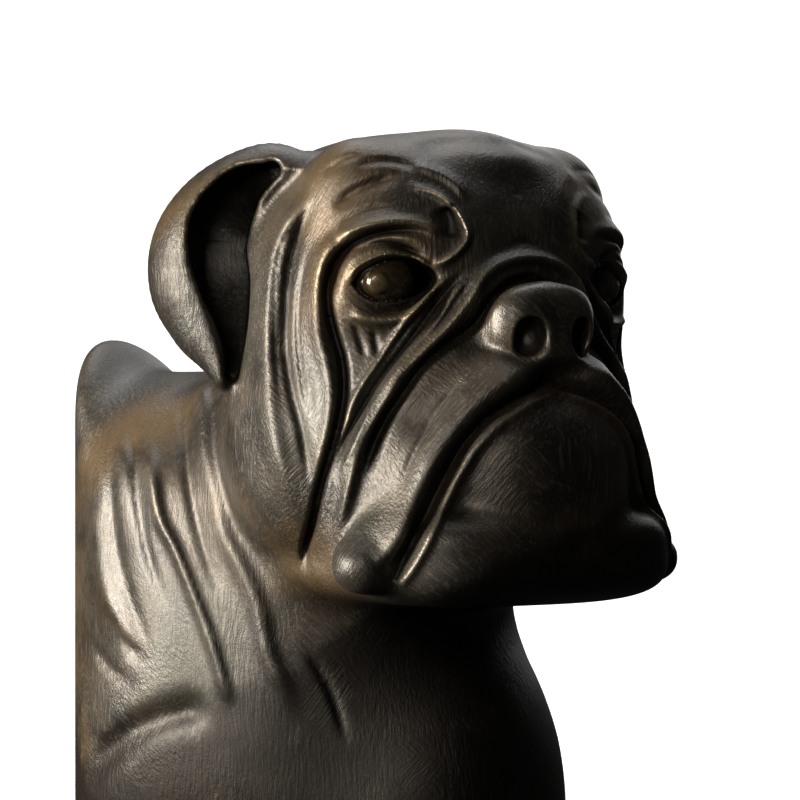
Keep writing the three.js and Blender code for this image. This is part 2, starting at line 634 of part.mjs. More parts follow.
// Fewer facets: edges are drawn together where that moves the surface least, and it stays one closed skin
function simplified(points, faces, wanted) {
  const errors = points.map(() => new Float64Array(10));
  const around = points.map(() => new Set());
  const stamps = new Int32Array(points.length);
  faces.forEach((face, id) => {
    const [a, b, c] = face.map((v) => points[v]);
    const normal = cross(minus(b, a), minus(c, a));
    const size = Math.hypot(...normal) || 1e-12;
    const [x, y, z] = normal.map((v) => v / size);
    const w = -(x * a[0] + y * a[1] + z * a[2]);
    const middle = [0, 1, 2].map((i) => (a[i] + b[i] + c[i]) / 3);
    const weight = size * weightOf(middle);
    const sum = [x * x, x * y, x * z, x * w, y * y, y * z, y * w, z * z, z * w, w * w];
    for (const v of face) {
      around[v].add(id);
      for (let i = 0; i < 10; i += 1) errors[v][i] += sum[i] * weight;
    }
  });
  const alive = new Uint8Array(faces.length).fill(1);
  let count = faces.length;
  const queue = new Queue();
  const neighbours = (v) => {
    const found = new Set();
    for (const id of around[v]) for (const other of faces[id]) if (other !== v) found.add(other);
    return found;
  };
  const offer = (a, b) => {
    const sum = errors[a].map((v, i) => v + errors[b][i]);
    const middle = points[a].map((v, i) => (v + points[b][i]) / 2);
    const length = Math.hypot(...minus(points[a], points[b]));
    const choices = [middle, points[a], points[b]];
    const least = leastPlace(sum);
    if (least && Math.hypot(...minus(least, middle)) < 2 * length) choices.push(least);
    let best = null;
    for (const place of choices) {
      const cost = planeError(sum, place) + 1e-5 * length * length;
      if (!best || cost < best.cost) best = { cost, place };
    }
    queue.push({ cost: best.cost, place: best.place, a, b, stamp: stamps[a] + stamps[b] });
  };
  const normalOf = (face, moved, place) => {
    const [p, q, r] = face.map((v) => (moved.includes(v) ? place : points[v]));
    return { n: cross(minus(q, p), minus(r, p)), longest: Math.max(
      Math.hypot(...minus(p, q)), Math.hypot(...minus(q, r)), Math.hypot(...minus(r, p))) };
  };
  const allowed = (a, b, place) => {
    const nearA = neighbours(a);
    let shared = 0;
    for (const v of neighbours(b)) if (nearA.has(v)) shared += 1;
    if (shared !== 2) return false;
    for (const id of new Set([...around[a], ...around[b]])) {
      const face = faces[id];
      if (face.includes(a) && face.includes(b)) continue;
      const before = normalOf(face, [], place).n;
      const after = normalOf(face, [a, b], place);
      const size = Math.hypot(...after.n);
      if (size < 0.06 * after.longest ** 2) return false;
      if (dot(before, after.n) < 0.35 * Math.hypot(...before) * size) return false;
    }
    return true;
  };
  const started = new Set();
  for (const face of faces) {
    for (let i = 0; i < 3; i += 1) {
      const a = Math.min(face[i], face[(i + 1) % 3]);
      const b = Math.max(face[i], face[(i + 1) % 3]);
      const key = a * points.length + b;
      if (!started.has(key)) {
        started.add(key);
        offer(a, b);
      }
    }
  }
  while (count > wanted && queue.items.length) {
    const { a, b, place, stamp } = queue.pop();
    if (stamps[a] < 0 || stamps[b] < 0 || stamp !== stamps[a] + stamps[b]) continue;
    if (!allowed(a, b, place)) continue;
    points[a] = place;
    for (let i = 0; i < 10; i += 1) errors[a][i] += errors[b][i];
    for (const id of around[b]) {
      const face = faces[id];
      if (face.includes(a)) {
        alive[id] = 0;
        count -= 1;
        for (const v of face) if (v !== b) around[v].delete(id);
      } else {
        face[face.indexOf(b)] = a;
        around[a].add(id);
      }
    }
    around[b].clear();
    stamps[b] = -1;
    stamps[a] += 1 + stamp;
    for (const v of neighbours(a)) offer(a, v);
  }
  return faces.filter((face, id) => alive[id]);
}

// Head frame to the finished frame in mm: body facing -Y, the dog's left +X, underside at nought
function placed(point) {
  const [forward, left, up] = toBody(point);
  return [left * UNIT, -forward * UNIT, (up - UNDERSIDE) * UNIT];
}

function bustGeometry() {
  const samples = sampled(bustAt);
  untangle(samples);
  const { points, faces } = netOf(samples);
  settle(points, bustAt);
  for (let round = 0; round < RELAX_ROUNDS; round += 1) {
    relax(points, faces);
    settle(points, bustAt);
  }
  const kept = simplified(points, triangles(points, faces), FACETS);
  const order = new Map();
  const positions = [];
  const indices = kept.flat().map((v) => {
    if (!order.has(v)) {
      order.set(v, order.size);
      const point = points[v];
      if (Math.abs(point[2] - UNDERSIDE) < 0.1) point[2] = UNDERSIDE;
      positions.push(...placed(point));
    }
    return order.get(v);
  });
  const geometry = new THREE.BufferGeometry();
  geometry.setAttribute("position", new THREE.Float32BufferAttribute(positions, 3));
  geometry.setIndex(indices);
  geometry.computeBoundingBox();
  const { min, max } = geometry.boundingBox;
  geometry.translate(-(min.x + max.x) / 2, -(min.y + max.y) / 2, 0);
  geometry.computeVertexNormals();
  return geometry;
}

const bronze = new THREE.MeshStandardMaterial({ color: BRONZE_COLOUR, metalness: 0.9, roughness: 0.35 });
const bust = new THREE.Mesh(bustGeometry(), bronze);
bust.name = "bulldog_bust";

const part = new THREE.Group();
part.name = "bronze_bulldog_bust";
part.add(bust);

export default part;
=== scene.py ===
"""A life-size bronze bust of a bulldog, its head turned to its right, on a plain pale floor."""
import math
from concurrent.futures import ThreadPoolExecutor

import bpy
import numpy as np
from mathutils import Matrix, Vector


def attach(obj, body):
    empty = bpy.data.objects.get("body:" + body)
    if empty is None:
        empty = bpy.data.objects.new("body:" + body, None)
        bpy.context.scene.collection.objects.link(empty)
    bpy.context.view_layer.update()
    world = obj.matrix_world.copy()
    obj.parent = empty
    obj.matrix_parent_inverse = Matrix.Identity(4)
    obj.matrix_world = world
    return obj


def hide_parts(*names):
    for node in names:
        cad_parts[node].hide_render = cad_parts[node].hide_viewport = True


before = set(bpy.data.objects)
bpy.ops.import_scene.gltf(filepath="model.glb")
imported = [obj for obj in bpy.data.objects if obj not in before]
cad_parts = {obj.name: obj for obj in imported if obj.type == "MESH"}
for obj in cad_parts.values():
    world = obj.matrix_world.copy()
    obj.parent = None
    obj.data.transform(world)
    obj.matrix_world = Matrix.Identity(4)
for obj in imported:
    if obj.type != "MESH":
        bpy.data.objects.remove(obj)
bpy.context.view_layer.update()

# Size and pose. Lengths below are hundredths of the head's height unless a name says metres.
HEAD_HEIGHT_M = 0.213
UNIT_M = HEAD_HEIGHT_M / 100
UNDERSIDE = -120.0
HEAD_TURN = math.radians(26)
NECK_PIVOT = 54.0
MIDDLE_M = (-0.0207804, -0.0192735)
# The fine skin's size as a share of the solid's, which keeps it inside the solid's box
SNUG = 0.9992

# The three-quarter view in which the folds of the face are drawn, and from which the camera looks
VIEW_TURN = math.radians(36)
VIEW_DISTANCE = 750.0
VIEW_ACROSS = 19.45
VIEW_BELOW = 24.5
PIXEL = 100 / 473
EYES_PIXEL = (492, 284)
PICTURE_WIDTH = 800

# Height at the middle of the view, and slope, of the line below which painted shade darkens the patina
SHADE_LINE = (-59.2, 0.47)

# The floor that curves up into a backdrop, in metres
FLOOR_NEAR, FLOOR_BACK = 3.2, 3.0
FLOOR_BEND = 1.4
FLOOR_HALF_WIDTH = 4.5
BACKDROP_HEIGHT = 4.2
FLOOR_COLOUR = (0.86, 0.86, 0.86, 1)
FLOOR_ROUGHNESS = 0.9
FLOOR_GLOW = 0.55

# Camera, in millimetres but for the far limit, in metres
SENSOR_WIDTH = 36.0
SIGHT_END_M = 50.0

# Soft lights: name, place and aim (right, near and up from the middle of the view, in metres), side in
# metres, watts, colour
LIGHTS = (
    ("key", (-1.15, 0.36, 0.16), (0, 0, 0), 0.52, 75, (1, 0.93, 0.82)),
    ("front", (-0.5, 1.5, 0.45), (0, 0, 0), 0.4, 12, (1, 0.95, 0.87)),
    ("back", (0.5, -1.7, 0.6), (0, 0, 0), 0.9, 5, (1, 1, 1)),
    ("top", (0, -1.2, 2.2), (0, -1.2, 0), 2.2, 60, (1, 1, 1)),
)
# Strength of the even light from all round
EVEN_LIGHT = 0.022

# The marks of the modelling tool, in metres
STROKE_WIDTH_M = 0.0014
STROKE_LENGTH_M = 0.012
STROKE_TURN = math.radians(208)
STROKE_LEANS = (0, math.radians(48), math.radians(-38))

# Colours of the patina; the last two are painted shade, the first low down on the chest and neck, where it
# also darkens the ears, the second in the creases and hollows
BROWN_BLACK = (0.0090, 0.0070, 0.0050, 1)
BROWN = (0.027, 0.0208, 0.0142, 1)
WARM_BROWN = (0.072, 0.044, 0.017, 1)
GREY_GREEN = (0.030, 0.040, 0.036, 1)
RUBBED_BRONZE = (0.150, 0.126, 0.092, 1)
GOLDEN_EDGE = (0.110, 0.088, 0.042, 1)
TOOL_MARK = (0.090, 0.082, 0.068, 1)
# Painted shade low down, also used to darken the ears
LOW_SHADE_AND_EAR_DARK = (0.0050, 0.0038, 0.0026, 1)
# Painted shade in the creases and hollows
CREASE_SHADE = (0.0045, 0.0036, 0.0026, 1)

# How much of the polish the nose has, how strongly painted shade darkens the lower chest, and how much
# darker the ears are
NOSE_POLISH = 0.35
LOW_SHADE, EAR_DARKENING = 0.85, 0.5
SHADE_LINE_FADE = 5

# Stored relief: its name, how often it is evened, and the factor that brings it to about one
RELIEFS = (("ridge", 5, 1 / 260), ("broad_ridge", 34, 1 / 90))
STAND_LIMIT = 1200

# Fineness of the skin: grid pitches by stretches of each axis, and the triangles kept
FORWARD_STRETCHES = ((-129.0, 1.5), (-60.0, 0.9), (-16.5, 0.46), (30.5, None))
LEFT_STRETCHES = ((-60.0, 0.8), (-37.0, 0.45), (-19.0, 0.6), (19.0, 0.45), (37.0, 0.8), (58.0, None))
UP_STRETCHES = ((-122.4, 1.5), (-71.4, 0.55), (-22.0, 0.45), (12.0, 0.6), (35.0, None))
COARSE = 4
CLUSTER = 16.0
SHEET_PITCH = 0.22
SHEET_LEFT, SHEET_RIGHT = -108.0, 60.0
SHEET_BOTTOM, SHEET_TOP = -124.0, 40.0
EAR_BOX = ((-75, -75, -45), (5, -15, 45))
TRIANGLES = 196000
FAR_AWAY = 60.0
REACH = 14.0
# Blocks of the grid are worked out where the distance is under a share of their diagonal and a margin
NEAR_SHARE, NEAR_MARGIN = 0.62, 0.8
UNTANGLE_ROUNDS = 12
JUST_INSIDE = -0.02
SETTLE_LIMIT = 0.25
SLOPE_STEP = 0.12
LEAST_SLOPE = 0.3
FLAT_BELOW = 0.3

# Rounded masses of the head: centre (forward, left, up), radii, squareness and, for the parts of the
# skull, softness of the join.
# Those beside the middle are on the dog's right and are mirrored to its left.
SKULL = ((-26, 0, 2), (38, 38, 31.2), 2.45)
SKULL_PARTS = (
    ((-12.5, -19, 15.5), (13, 17.5, 13), 2.2, 8),
    ((-13, -26, 21.8), (10, 8, 8), 2.0, 4),
    ((-9, 0, 23.5), (14, 14, 9), 2.0, 5),
    ((-4.5, -24.5, 2), (9.9, 13.1, 14), 2.3, 6),
    ((-26, -27, -22), (24, 16, 34), 2.4, 10),
    ((-22, -30, -36), (20, 15, 22), 2.2, 8),
    ((-18, 0, -30), (37.5, 40.5, 36), 2.05, 5),
    ((-27, 0, -57), (22, 33, 13), 2.4, 6),
)
CHIN = ((-2, 0, -40), (30.5, 27, 23), 2.4)
JAW_EDGE = ((-7, 0, -56.8), (35, 36.3, 11), 3.6)
LIP_SIDE = ((1, -28, -45), (17, 7.5, 17), 2.4)
LIP_SIDE_YAW = math.radians(21)
LIP_PATH = ((16, -11, -21.5), (14.2, -15.4, -27), (11.6, -20.6, -35), (9.4, -24.4, -44),
            (7, -29.5, -52), (4.2, -36.5, -57.5))
LIP_RADII = (6.6, 7.4, 7.6, 7.6, 7.4, 6.2)
NOSE_BRIDGE = ((6.2, 0, -5), (6, 15, 9), 2.2)
NOSE = ((15, 0, -8.6), (8.6, 12.8, 9.6), 2.5)
NOSTRIL = ((21.5, -6.5, -11.4), (5, 3.4, 4.1), 2.2)
EYE_SOCKET = ((3.6, -28.5, -0.2), (6, 10.5, 6.2), 2.0)
LIP_DROP = ((6.4, -36.5, -58.6), (6.2, 7.5, 5.4), 2.2)
EYELIDS = ((-2.0, -27.3, 0.1), (6.9, 8.8, 6.9), 2.0)
EYEBALL = ((-1.4, -27.3, 0.2), (5.6, 7.0, 5.7), 2.0)

# Softness of the joins of the head, in the order that they are made
CHIN_SOFT = 4
JAW_SOFT = 3
LIP_ROPE_SOFT = 2.5
LIP_SOFT = 3
BRIDGE_SOFT = 6
NOSE_SOFT = 2.6
SOCKET_SOFT = 3
LIDS_SOFT = 2
LIP_DROP_SOFT = 1.6
OPENING_SOFT = 0.5
NOSTRIL_SOFT = 1
EAR_SOFT = 3
POCKET_SOFT = 1.6
EYE_OPENING_FLOOR = -6

# Neck and body; the body's frame has its origin under the neck pivot
NECK_PATH = ((-34, 0, -16), (-46, -1, -40), (-56, 0, -72), (-60, 4, -100))
NECK_RADII = (33, 35, 36.5, 40)
TORSO = ((-22, 0, -82), (53, 45, 62), 2.5)
CHEST = ((12.5, 0, -116), (37.5, 36, 46), 2.2)
WITHERS = ((-74, 0, -70), (42, 48, 63), 2.0)
NAPE = ((-40, 0, -50), (26, 28, 31), 2.2)
SHOULDER = ((-34, -29, -70), (28, 20, 30), 2.2)
REAR_CENTRE = -18.0
REAR_LENGTH = 46.0
REAR_SOFT = 6.0
REAR_HALF_WIDTH = 43.0
REAR_SCALE = 48
CHEST_SOFT = 8
WITHERS_SOFT = 7
NAPE_SOFT = 8
SHOULDER_SOFT = 10
TRUNK_SOFT = 12
NECK_JOIN_SOFT = 5

# Lines read off the three-quarter view, in pixels of the photo
MOUTH_LINE = ((590, 366), (577, 371), (555, 376), (530, 389), (508, 402), (485, 419), (465, 441),
              (450, 465), (437, 490), (425, 515), (413, 541), (400, 563), (386, 580))
MUZZLE_ROLL = ((560, 262), (530, 257), (505, 262), (485, 275), (470, 300), (450, 325), (420, 355),
               (400, 375), (385, 400), (370, 425), (358, 450), (350, 480), (340, 520), (328, 550))
MUZZLE_FOLD = ((580, 288), (556, 275), (535, 277), (510, 284), (492, 299), (478, 320), (462, 334),
               (443, 347), (422, 366), (405, 390), (390, 411), (379, 432), (370, 455), (363, 482))
UNDER_EYE_RIDGE = ((484, 266), (458, 290), (436, 322), (410, 352), (390, 378), (374, 402), (358, 434),
                   (345, 465), (335, 500))
UNDER_EYE_FOLD = ((466, 266), (450, 288), (430, 313), (410, 340), (395, 360), (380, 380), (365, 404),
                  (350, 430), (338, 455), (328, 480))
INNER_RIDGE = ((465, 268), (440, 285), (420, 305), (400, 330), (380, 360), (362, 385), (350, 410),
               (343, 440))
CHEEK_FOLD = ((440, 234), (415, 230), (390, 231), (368, 236), (348, 247), (334, 264), (328, 285),
              (329, 310), (335, 335), (342, 360), (344, 385), (342, 406), (336, 432), (328, 460),
              (320, 490), (313, 522), (306, 548), (304, 580))
CHEEK_RIDGE = ((346, 232), (328, 248), (317, 280), (317, 330), (327, 370), (330, 405), (323, 450),
               (314, 490))
CHEEK_GROOVE = ((320, 190), (302, 225), (291, 262), (286, 310), (286, 352), (292, 390), (301, 425),
                (307, 460), (311, 500))
TEMPLE_RIDGE = ((312, 188), (290, 215), (276, 250), (269, 300), (266, 350), (269, 410), (280, 465),
                (295, 510))
BROW_EDGE = ((336, 243), (350, 231), (370, 224), (400, 221), (430, 226), (446, 236))
BROW_HOOK = ((400, 186), (420, 188), (440, 195), (455, 208), (464, 222), (468, 236), (460, 250),
             (446, 260), (430, 266))
BROW_HOLLOW = ((443, 206), (449, 222), (449, 240))
BROW_ARC = ((332, 210), (345, 198), (360, 189), (382, 181), (405, 177))
FOREHEAD_GROOVE = ((405, 152), (435, 146), (465, 143), (500, 146), (530, 155))
FOREHEAD_RIDGE = ((410, 163), (425, 168), (445, 176), (460, 188), (470, 205))
FINE_LINES = (
    ((472, 276), (449, 300), (428, 328), (404, 356), (386, 382), (371, 408), (358, 440)),
    ((462, 268), (441, 290), (418, 316), (396, 342), (377, 368), (362, 394)),
    ((352, 318), (360, 340), (366, 362)),
    ((372, 326), (376, 344), (378, 360)),
    ((300, 210), (280, 250), (274, 300), (276, 360), (284, 420)),
    ((310, 240), (300, 290), (298, 340), (304, 392), (312, 440)),
    ((336, 228), (352, 216), (374, 208), (400, 206)),
    ((420, 372), (402, 398), (388, 424), (376, 456), (368, 492)),
    ((470, 372), (448, 396), (428, 426), (410, 462), (396, 500)),
    ((352, 168), (372, 162), (396, 162), (420, 170)),
    ((322, 176), (340, 162), (362, 154)),
    ((512, 178), (540, 172), (566, 178), (586, 196)),
    ((506, 196), (534, 190), (560, 198), (580, 218)),
    ((500, 246), (530, 240), (560, 246), (582, 262)),
)
BODY_LINES = (
    ((120, 395), (132, 440), (138, 500), (150, 560), (172, 620)),
    ((100, 410), (108, 450), (112, 500), (120, 560), (138, 620), (160, 670)),
    ((182, 380), (184, 430), (190, 490), (204, 550), (226, 610)),
    ((236, 400), (244, 450), (252, 500), (262, 545)),
    ((90, 640), (110, 668), (140, 690)),
    ((100, 600), (124, 640), (152, 668)),
    ((300, 640), (330, 690), (350, 750)),
    ((90, 395), (112, 384), (140, 374), (164, 368)),
)
NECK_FOLD = ((197, 366), (201, 400), (204, 450), (215, 500), (224, 535), (241, 568), (256, 604),
             (268, 655), (284, 690), (295, 720))
COLLAR_RIDGE = ((151, 436), (153, 485), (160, 520), (175, 550), (195, 600), (210, 640), (222, 680),
                (232, 708))
SHOULDER_RIDGE = ((90, 470), (95, 540), (101, 580), (115, 620), (138, 655))
NAPE_RIDGE = ((222, 395), (226, 430), (226, 470))
SHOULDER_CREASE = ((215, 706), (180, 712), (140, 727), (105, 755), (75, 785))
EAR_MIDDLE = ((306, 168), (268, 172), (228, 203), (203, 243), (198, 285), (207, 325), (218, 356),
              (223, 380))
EAR_HALF_WIDTHS = (17, 30, 43, 50, 49, 38, 24, 10)
EAR_BACKS = (-16, -22, -25, -26, -25, -21, -15, -8)
EAR_FRONTS = (2, 0, 0, 0, 0.5, 1, 2, 3)
POCKET_MIDDLE = ((272, 170), (243, 188), (222, 220), (218, 250), (225, 285), (232, 320), (234, 350),
                 (232, 374))
POCKET_HALF_WIDTHS = (9, 22, 30, 29, 26, 17, 10, 6)
FAR_BROW_SOFTENED = 0.6
EYE_OPENING = ((352, 284), (360, 272), (378, 262), (396, 259), (416, 264), (431, 277), (424, 290),
               (410, 298), (396, 302), (380, 302), (364, 297), (352, 284))
IRIS_PIXEL = (379, 283)
IRIS_RADIUS = 2.6
IRIS_EDGE = 0.6
IRIS_HEIGHT = 0.3
IRIS_RING_DEPTH = 0.12
IRIS_RING_WIDTH = 0.4
LID_CREASE = ((335, 304), (335, 280), (345, 258), (362, 247), (386, 242), (410, 248), (428, 260))
LID_EDGE = ((346, 286), (356, 268), (376, 257), (397, 254), (419, 259), (434, 273))
EYE_BAG = ((348, 312), (362, 318), (380, 321), (402, 318), (422, 306), (436, 292))
POCKET_FLOORS = (-11, -16.5, -20, -20.5, -19, -15, -10, -4.5)

# Folds: line, half width, height (raised above nought, pressed in below it), fades at start and end
HEAD_FOLDS = (
    (MUZZLE_ROLL, 1.5, 1.9, 0.06, 0.15),
    (MUZZLE_FOLD, 0.95, -2.6, 0.05, 0.12),
    (LID_CREASE, 1.0, -1.5, 0.2, 0.2),
    (LID_EDGE, 0.7, 0.7, 0.2, 0.2),
    (EYE_BAG, 1.1, 0.9, 0.2, 0.2),
    (UNDER_EYE_RIDGE, 0.8, 1.1, 0.2, 0.2),
    (UNDER_EYE_FOLD, 0.7, -1.2, 0.2, 0.15),
    (INNER_RIDGE, 0.8, 1.1, 0.25, 0.2),
    (CHEEK_FOLD, 0.95, -2.7, 0.12, 0.1),
    (CHEEK_RIDGE, 1.7, 1.5, 0.2, 0.2),
    (CHEEK_GROOVE, 1.2, -1.3, 0.2, 0.2),
    (TEMPLE_RIDGE, 2.4, 1.8, 0.2, 0.2),
    (BROW_EDGE, 1.3, 1.4, 0.2, 0.2),
    (BROW_HOOK, 0.8, 2.1, 0.3, 0.2),
    (BROW_HOLLOW, 1.9, -2.2, 0.2, 0.2),
    (BROW_ARC, 1.2, -1.1, 0.3, 0.3),
    (FOREHEAD_GROOVE, 1.6, -0.8, 0.3, 0.3),
    (FOREHEAD_RIDGE, 1.1, 0.9, 0.3, 0.3),
) + tuple((line, 0.75, -0.55, 0.3, 0.3) for line in FINE_LINES)
BODY_FOLDS = (
    (NECK_FOLD, 2.2, 1.6, 0.1, 0.2),
    (COLLAR_RIDGE, 1.3, 1.4, 0.15, 0.15),
    (SHOULDER_RIDGE, 2.0, 1.2, 0.2, 0.2),
    (NAPE_RIDGE, 1.6, 0.9, 0.3, 0.3),
    (SHOULDER_CREASE, 3.0, -2.4, 0.2, 0.1),
) + tuple((line, 1.1, -0.75, 0.3, 0.3) for line in BODY_LINES)

VIEW_SIN, VIEW_COS = math.sin(VIEW_TURN), math.cos(VIEW_TURN)
TURN_SIN, TURN_COS = math.sin(HEAD_TURN), math.cos(HEAD_TURN)


def smooth_step(x, low, high):
    """Rises from 0 at low to 1 at high as 3 t^2 - 2 t^3."""
    t = np.clip((x - low) / (high - low), 0, 1)
    return t * t * (3 - 2 * t)


def smooth_curve(points, steps):
    """A Catmull-Rom curve through rows of points, with that many steps between each two."""
    points = np.asarray(points, float)
    ends = np.vstack([2 * points[0] - points[1], points, 2 * points[-1] - points[-2]])
    a, b, c, d = (ends[i:len(points) - 1 + i, None, :] for i in range(4))
    t = (np.arange(steps) / steps)[None, :, None]
    squared, cubed = 2 * a - 5 * b + 4 * c - d, 3 * b - a - 3 * c + d
    rows = 0.5 * (2 * b + (c - a) * t + squared * t ** 2 + cubed * t ** 3)
    return np.vstack([rows.reshape(-1, points.shape[1]), points[-1:]]).astype(np.float32)


def drawn(pixels):
    """Pixels of the photo as places in the view, across and up from the point between the eyes."""
    p = np.asarray(pixels, float)
    return np.column_stack([(p[:, 0] - EYES_PIXEL[0]) * PIXEL, (EYES_PIXEL[1] - p[:, 1]) * PIXEL])


class Cluster:
    """Neighbouring points, with the box round them, so that forms out of reach are passed over."""

    def __init__(self, points):
        self.points = points
        self.low = points.min(axis=0)
        self.high = points.max(axis=0)

    def misses(self, low, high):
        return bool(np.any(self.low > high) or np.any(self.high < low))


def mass(cluster, at, radii, power, yaw=0.0):
    """Distance to a squared ellipsoid: (k - 1) / |slope of k|, k^power being the sum of |x / r|^power."""
    at, radii = np.float32(at), np.float32(radii)
    around = np.float32([max(radii[:2]), max(radii[:2]), radii[2]]) if yaw else radii
    if cluster.misses(at - around - REACH, at + around + REACH):
        return None
    q = cluster.points - at
    if yaw:
        c, s = math.cos(yaw), math.sin(yaw)
        q = np.column_stack([c * q[:, 0] + s * q[:, 1], c * q[:, 1] - s * q[:, 0], q[:, 2]])
    a = np.abs(q / radii) + np.float32(1e-4)
    rising = a ** np.float32(power - 1)
    total = np.sum(a * rising, axis=1)
    k = total ** np.float32(1 / power)
    return (k - 1) * total / (k * np.sqrt(np.sum((rising / radii) ** 2, axis=1)))


def blend(a, b, soft):
    """Smooth union: the lesser distance, less h^2 soft / 4, where h is how nearly equal the two are."""
    if a is None or b is None:
        return b if a is None else a
    near = np.maximum(soft - np.abs(a - b), 0) / soft
    return np.minimum(a, b) - near * near * (soft / 4)


def cut(a, b, soft):
    """Smooth removal of b from a."""
    return a if a is None or b is None else -blend(-a, b, soft)


def nearest(place, curve):
    """For each place, the distance to a curve, which side it is on, and the share of the way along.

    Segments are tried in turn; each keeps the places that it is nearer to than any before it."""
    best = np.full(len(place), np.float32(1e9))
    side = np.ones(len(place), np.float32)
    share = np.zeros(len(place), np.float32)
    for i, (start, step) in enumerate(zip(curve[:-1, :2], np.diff(curve[:, :2], axis=0))):
        w = place - start
        t = np.clip((w @ step) / (step @ step), 0, 1)
        away = w - t[:, None] * step
        square = np.einsum("ij,ij->i", away, away)
        closer = square < best
        best = np.where(closer, square, best)
        side = np.where(closer, np.sign(step[0] * w[:, 1] - step[1] * w[:, 0]), side)
        share = np.where(closer, (i + t) / (len(curve) - 1), share)
    return np.sqrt(best), side, share


class Sheet:
    """Values worked out once on a fine grid over the view, and looked up between its points."""

    def __init__(self):
        self.across = np.arange(SHEET_LEFT, SHEET_RIGHT, SHEET_PITCH, dtype=np.float32)
        self.up = np.arange(SHEET_BOTTOM, SHEET_TOP, SHEET_PITCH, dtype=np.float32)
        self.places = np.stack(np.meshgrid(self.across, self.up, indexing="ij"), axis=-1)

    def near(self, curve, reach):
        """The window of the grid within reach of a curve, and the distance, side and share in it."""
        low = np.floor((curve.min(axis=0) - reach - (SHEET_LEFT, SHEET_BOTTOM)) / SHEET_PITCH).astype(int)
        high = np.ceil((curve.max(axis=0) + reach - (SHEET_LEFT, SHEET_BOTTOM)) / SHEET_PITCH).astype(int)
        low, high = np.maximum(low, 0), np.minimum(high, self.places.shape[:2])
        window = (slice(low[0], high[0]), slice(low[1], high[1]))
        places = self.places[window]
        found = nearest(places.reshape(-1, 2), curve)
        return window, [value.reshape(places.shape[:2]) for value in found]

    def even(self, value):
        """A table with one value all over."""
        return np.full(self.places.shape[:2], value, np.float32)

    def look_up(self, place, *tables):
        """Each table's value at each place, linear between the four grid points round it."""
        g = (place - np.float32([SHEET_LEFT, SHEET_BOTTOM])) / np.float32(SHEET_PITCH)
        g = np.clip(g, 0, np.float32(self.places.shape[:2]) - np.float32(1.001))
        cell = g.astype(np.int32)
        s, t = (g - cell).T
        at = cell[:, 0] * len(self.up) + cell[:, 1]
        corners = ((at, (1 - s) * (1 - t)), (at + 1, (1 - s) * t), (at + len(self.up), s * (1 - t)),
                   (at + len(self.up) + 1, s * t))
        return [sum(table.ravel()[index] * weight for index, weight in corners) for table in tables]


def fade(share, start, end):
    """1 along a line, falling smoothly to 0 over a share of it at each end."""
    return smooth_step(share, 0, start) * smooth_step(1 - share, 0, end)


def profile(distance, width):
    """The rounded section of a fold, exp(-(distance / width)^2)."""
    return np.exp(-(distance / width) ** 2)


def along_list(values, share):
    """The value of a list at a share of the way along it, on a smooth curve through its values."""
    fine = smooth_curve(np.array(values, float)[:, None], 8)[:, 0]
    return np.interp(share * (len(fine) - 1), np.arange(len(fine)), fine)


class Rope:
    """A round rope through points in space, its radius carried along."""

    def __init__(self, path, radii, steps, reach):
        self.curve = smooth_curve(np.column_stack([path, radii]), steps)
        wide = self.curve[:, 3].max() + reach
        self.low = self.curve[:, :3].min(axis=0) - wide
        self.high = self.curve[:, :3].max(axis=0) + wide

    def measure(self, cluster):
        """The least, over the segments, of the distance to the segment less the radius there."""
        if cluster.misses(self.low, self.high):
            return None
        best = np.full(len(cluster.points), np.float32(FAR_AWAY))
        for a, b in zip(self.curve[:-1], self.curve[1:]):
            step = b[:3] - a[:3]
            w = cluster.points - a[:3]
            t = np.clip((w @ step) / (step @ step), 0, 1)
            away = np.linalg.norm(w - t[:, None] * step, axis=1)
            best = np.minimum(best, away - a[3] - (b[3] - a[3]) * t)
        return best


def seen(points):
    """Where points of the head's frame appear in the view, and how near they are to the viewer."""
    across = points[:, 0] * VIEW_SIN + points[:, 1] * VIEW_COS
    near = points[:, 0] * VIEW_COS - points[:, 1] * VIEW_SIN
    scale = 1 - near / VIEW_DISTANCE
    places = np.column_stack([(across + VIEW_ACROSS) / scale - VIEW_ACROSS,
                              (points[:, 2] + VIEW_BELOW) / scale - VIEW_BELOW])
    return places.astype(np.float32), near


sheet = Sheet()
ear_box = Cluster(np.float32(EAR_BOX))
lip_rope = Rope(LIP_PATH, LIP_RADII, 3, REACH)
neck_rope = Rope(NECK_PATH, NECK_RADII, 4, REACH)


def raised_by(folds):
    """A table of the sum of every fold's height, rounded across it and faded at its ends."""
    total = sheet.even(0)
    for line, width, height, start, end in folds:
        window, (distance, _, share) = sheet.near(smooth_curve(drawn(line), 6), 3.2 * width)
        total[window] += height * fade(share, start, end) * profile(distance, width)
    return total


def mouth():
    """A table of the closed mouth: a groove that deepens along it, between a thin and a thick lip."""
    total = sheet.even(0)
    window, (distance, side, share) = sheet.near(smooth_curve(drawn(MOUTH_LINE), 6), 14)
    depth = 1.2 + 2.4 * smooth_step(share, 0.05, 0.5)
    width = 0.75 + 0.6 * smooth_step(share, 0.1, 0.8)
    lower_lip = profile(side * distance - 2.9, 1.2)
    upper_lip = 1.7 * profile(side * distance + 3.8, 2.6)
    total[window] = fade(share, 0.03, 0.04) * (depth * profile(distance, width) - lower_lip - upper_lip)
    return total


def flap(line, *lists, reach):
    """Tables of the distance from a flap's middle line beyond its half width, and of its other lists."""
    window, (distance, _, share) = sheet.near(smooth_curve(drawn(line), 6), reach)
    beyond = sheet.even(FAR_AWAY)
    beyond[window] = distance - along_list(lists[0], share) * PIXEL
    tables = [beyond]
    for values in lists[1:]:
        table = sheet.even(0)
        table[window] = along_list(values, share)
        tables.append(table)
    return tables


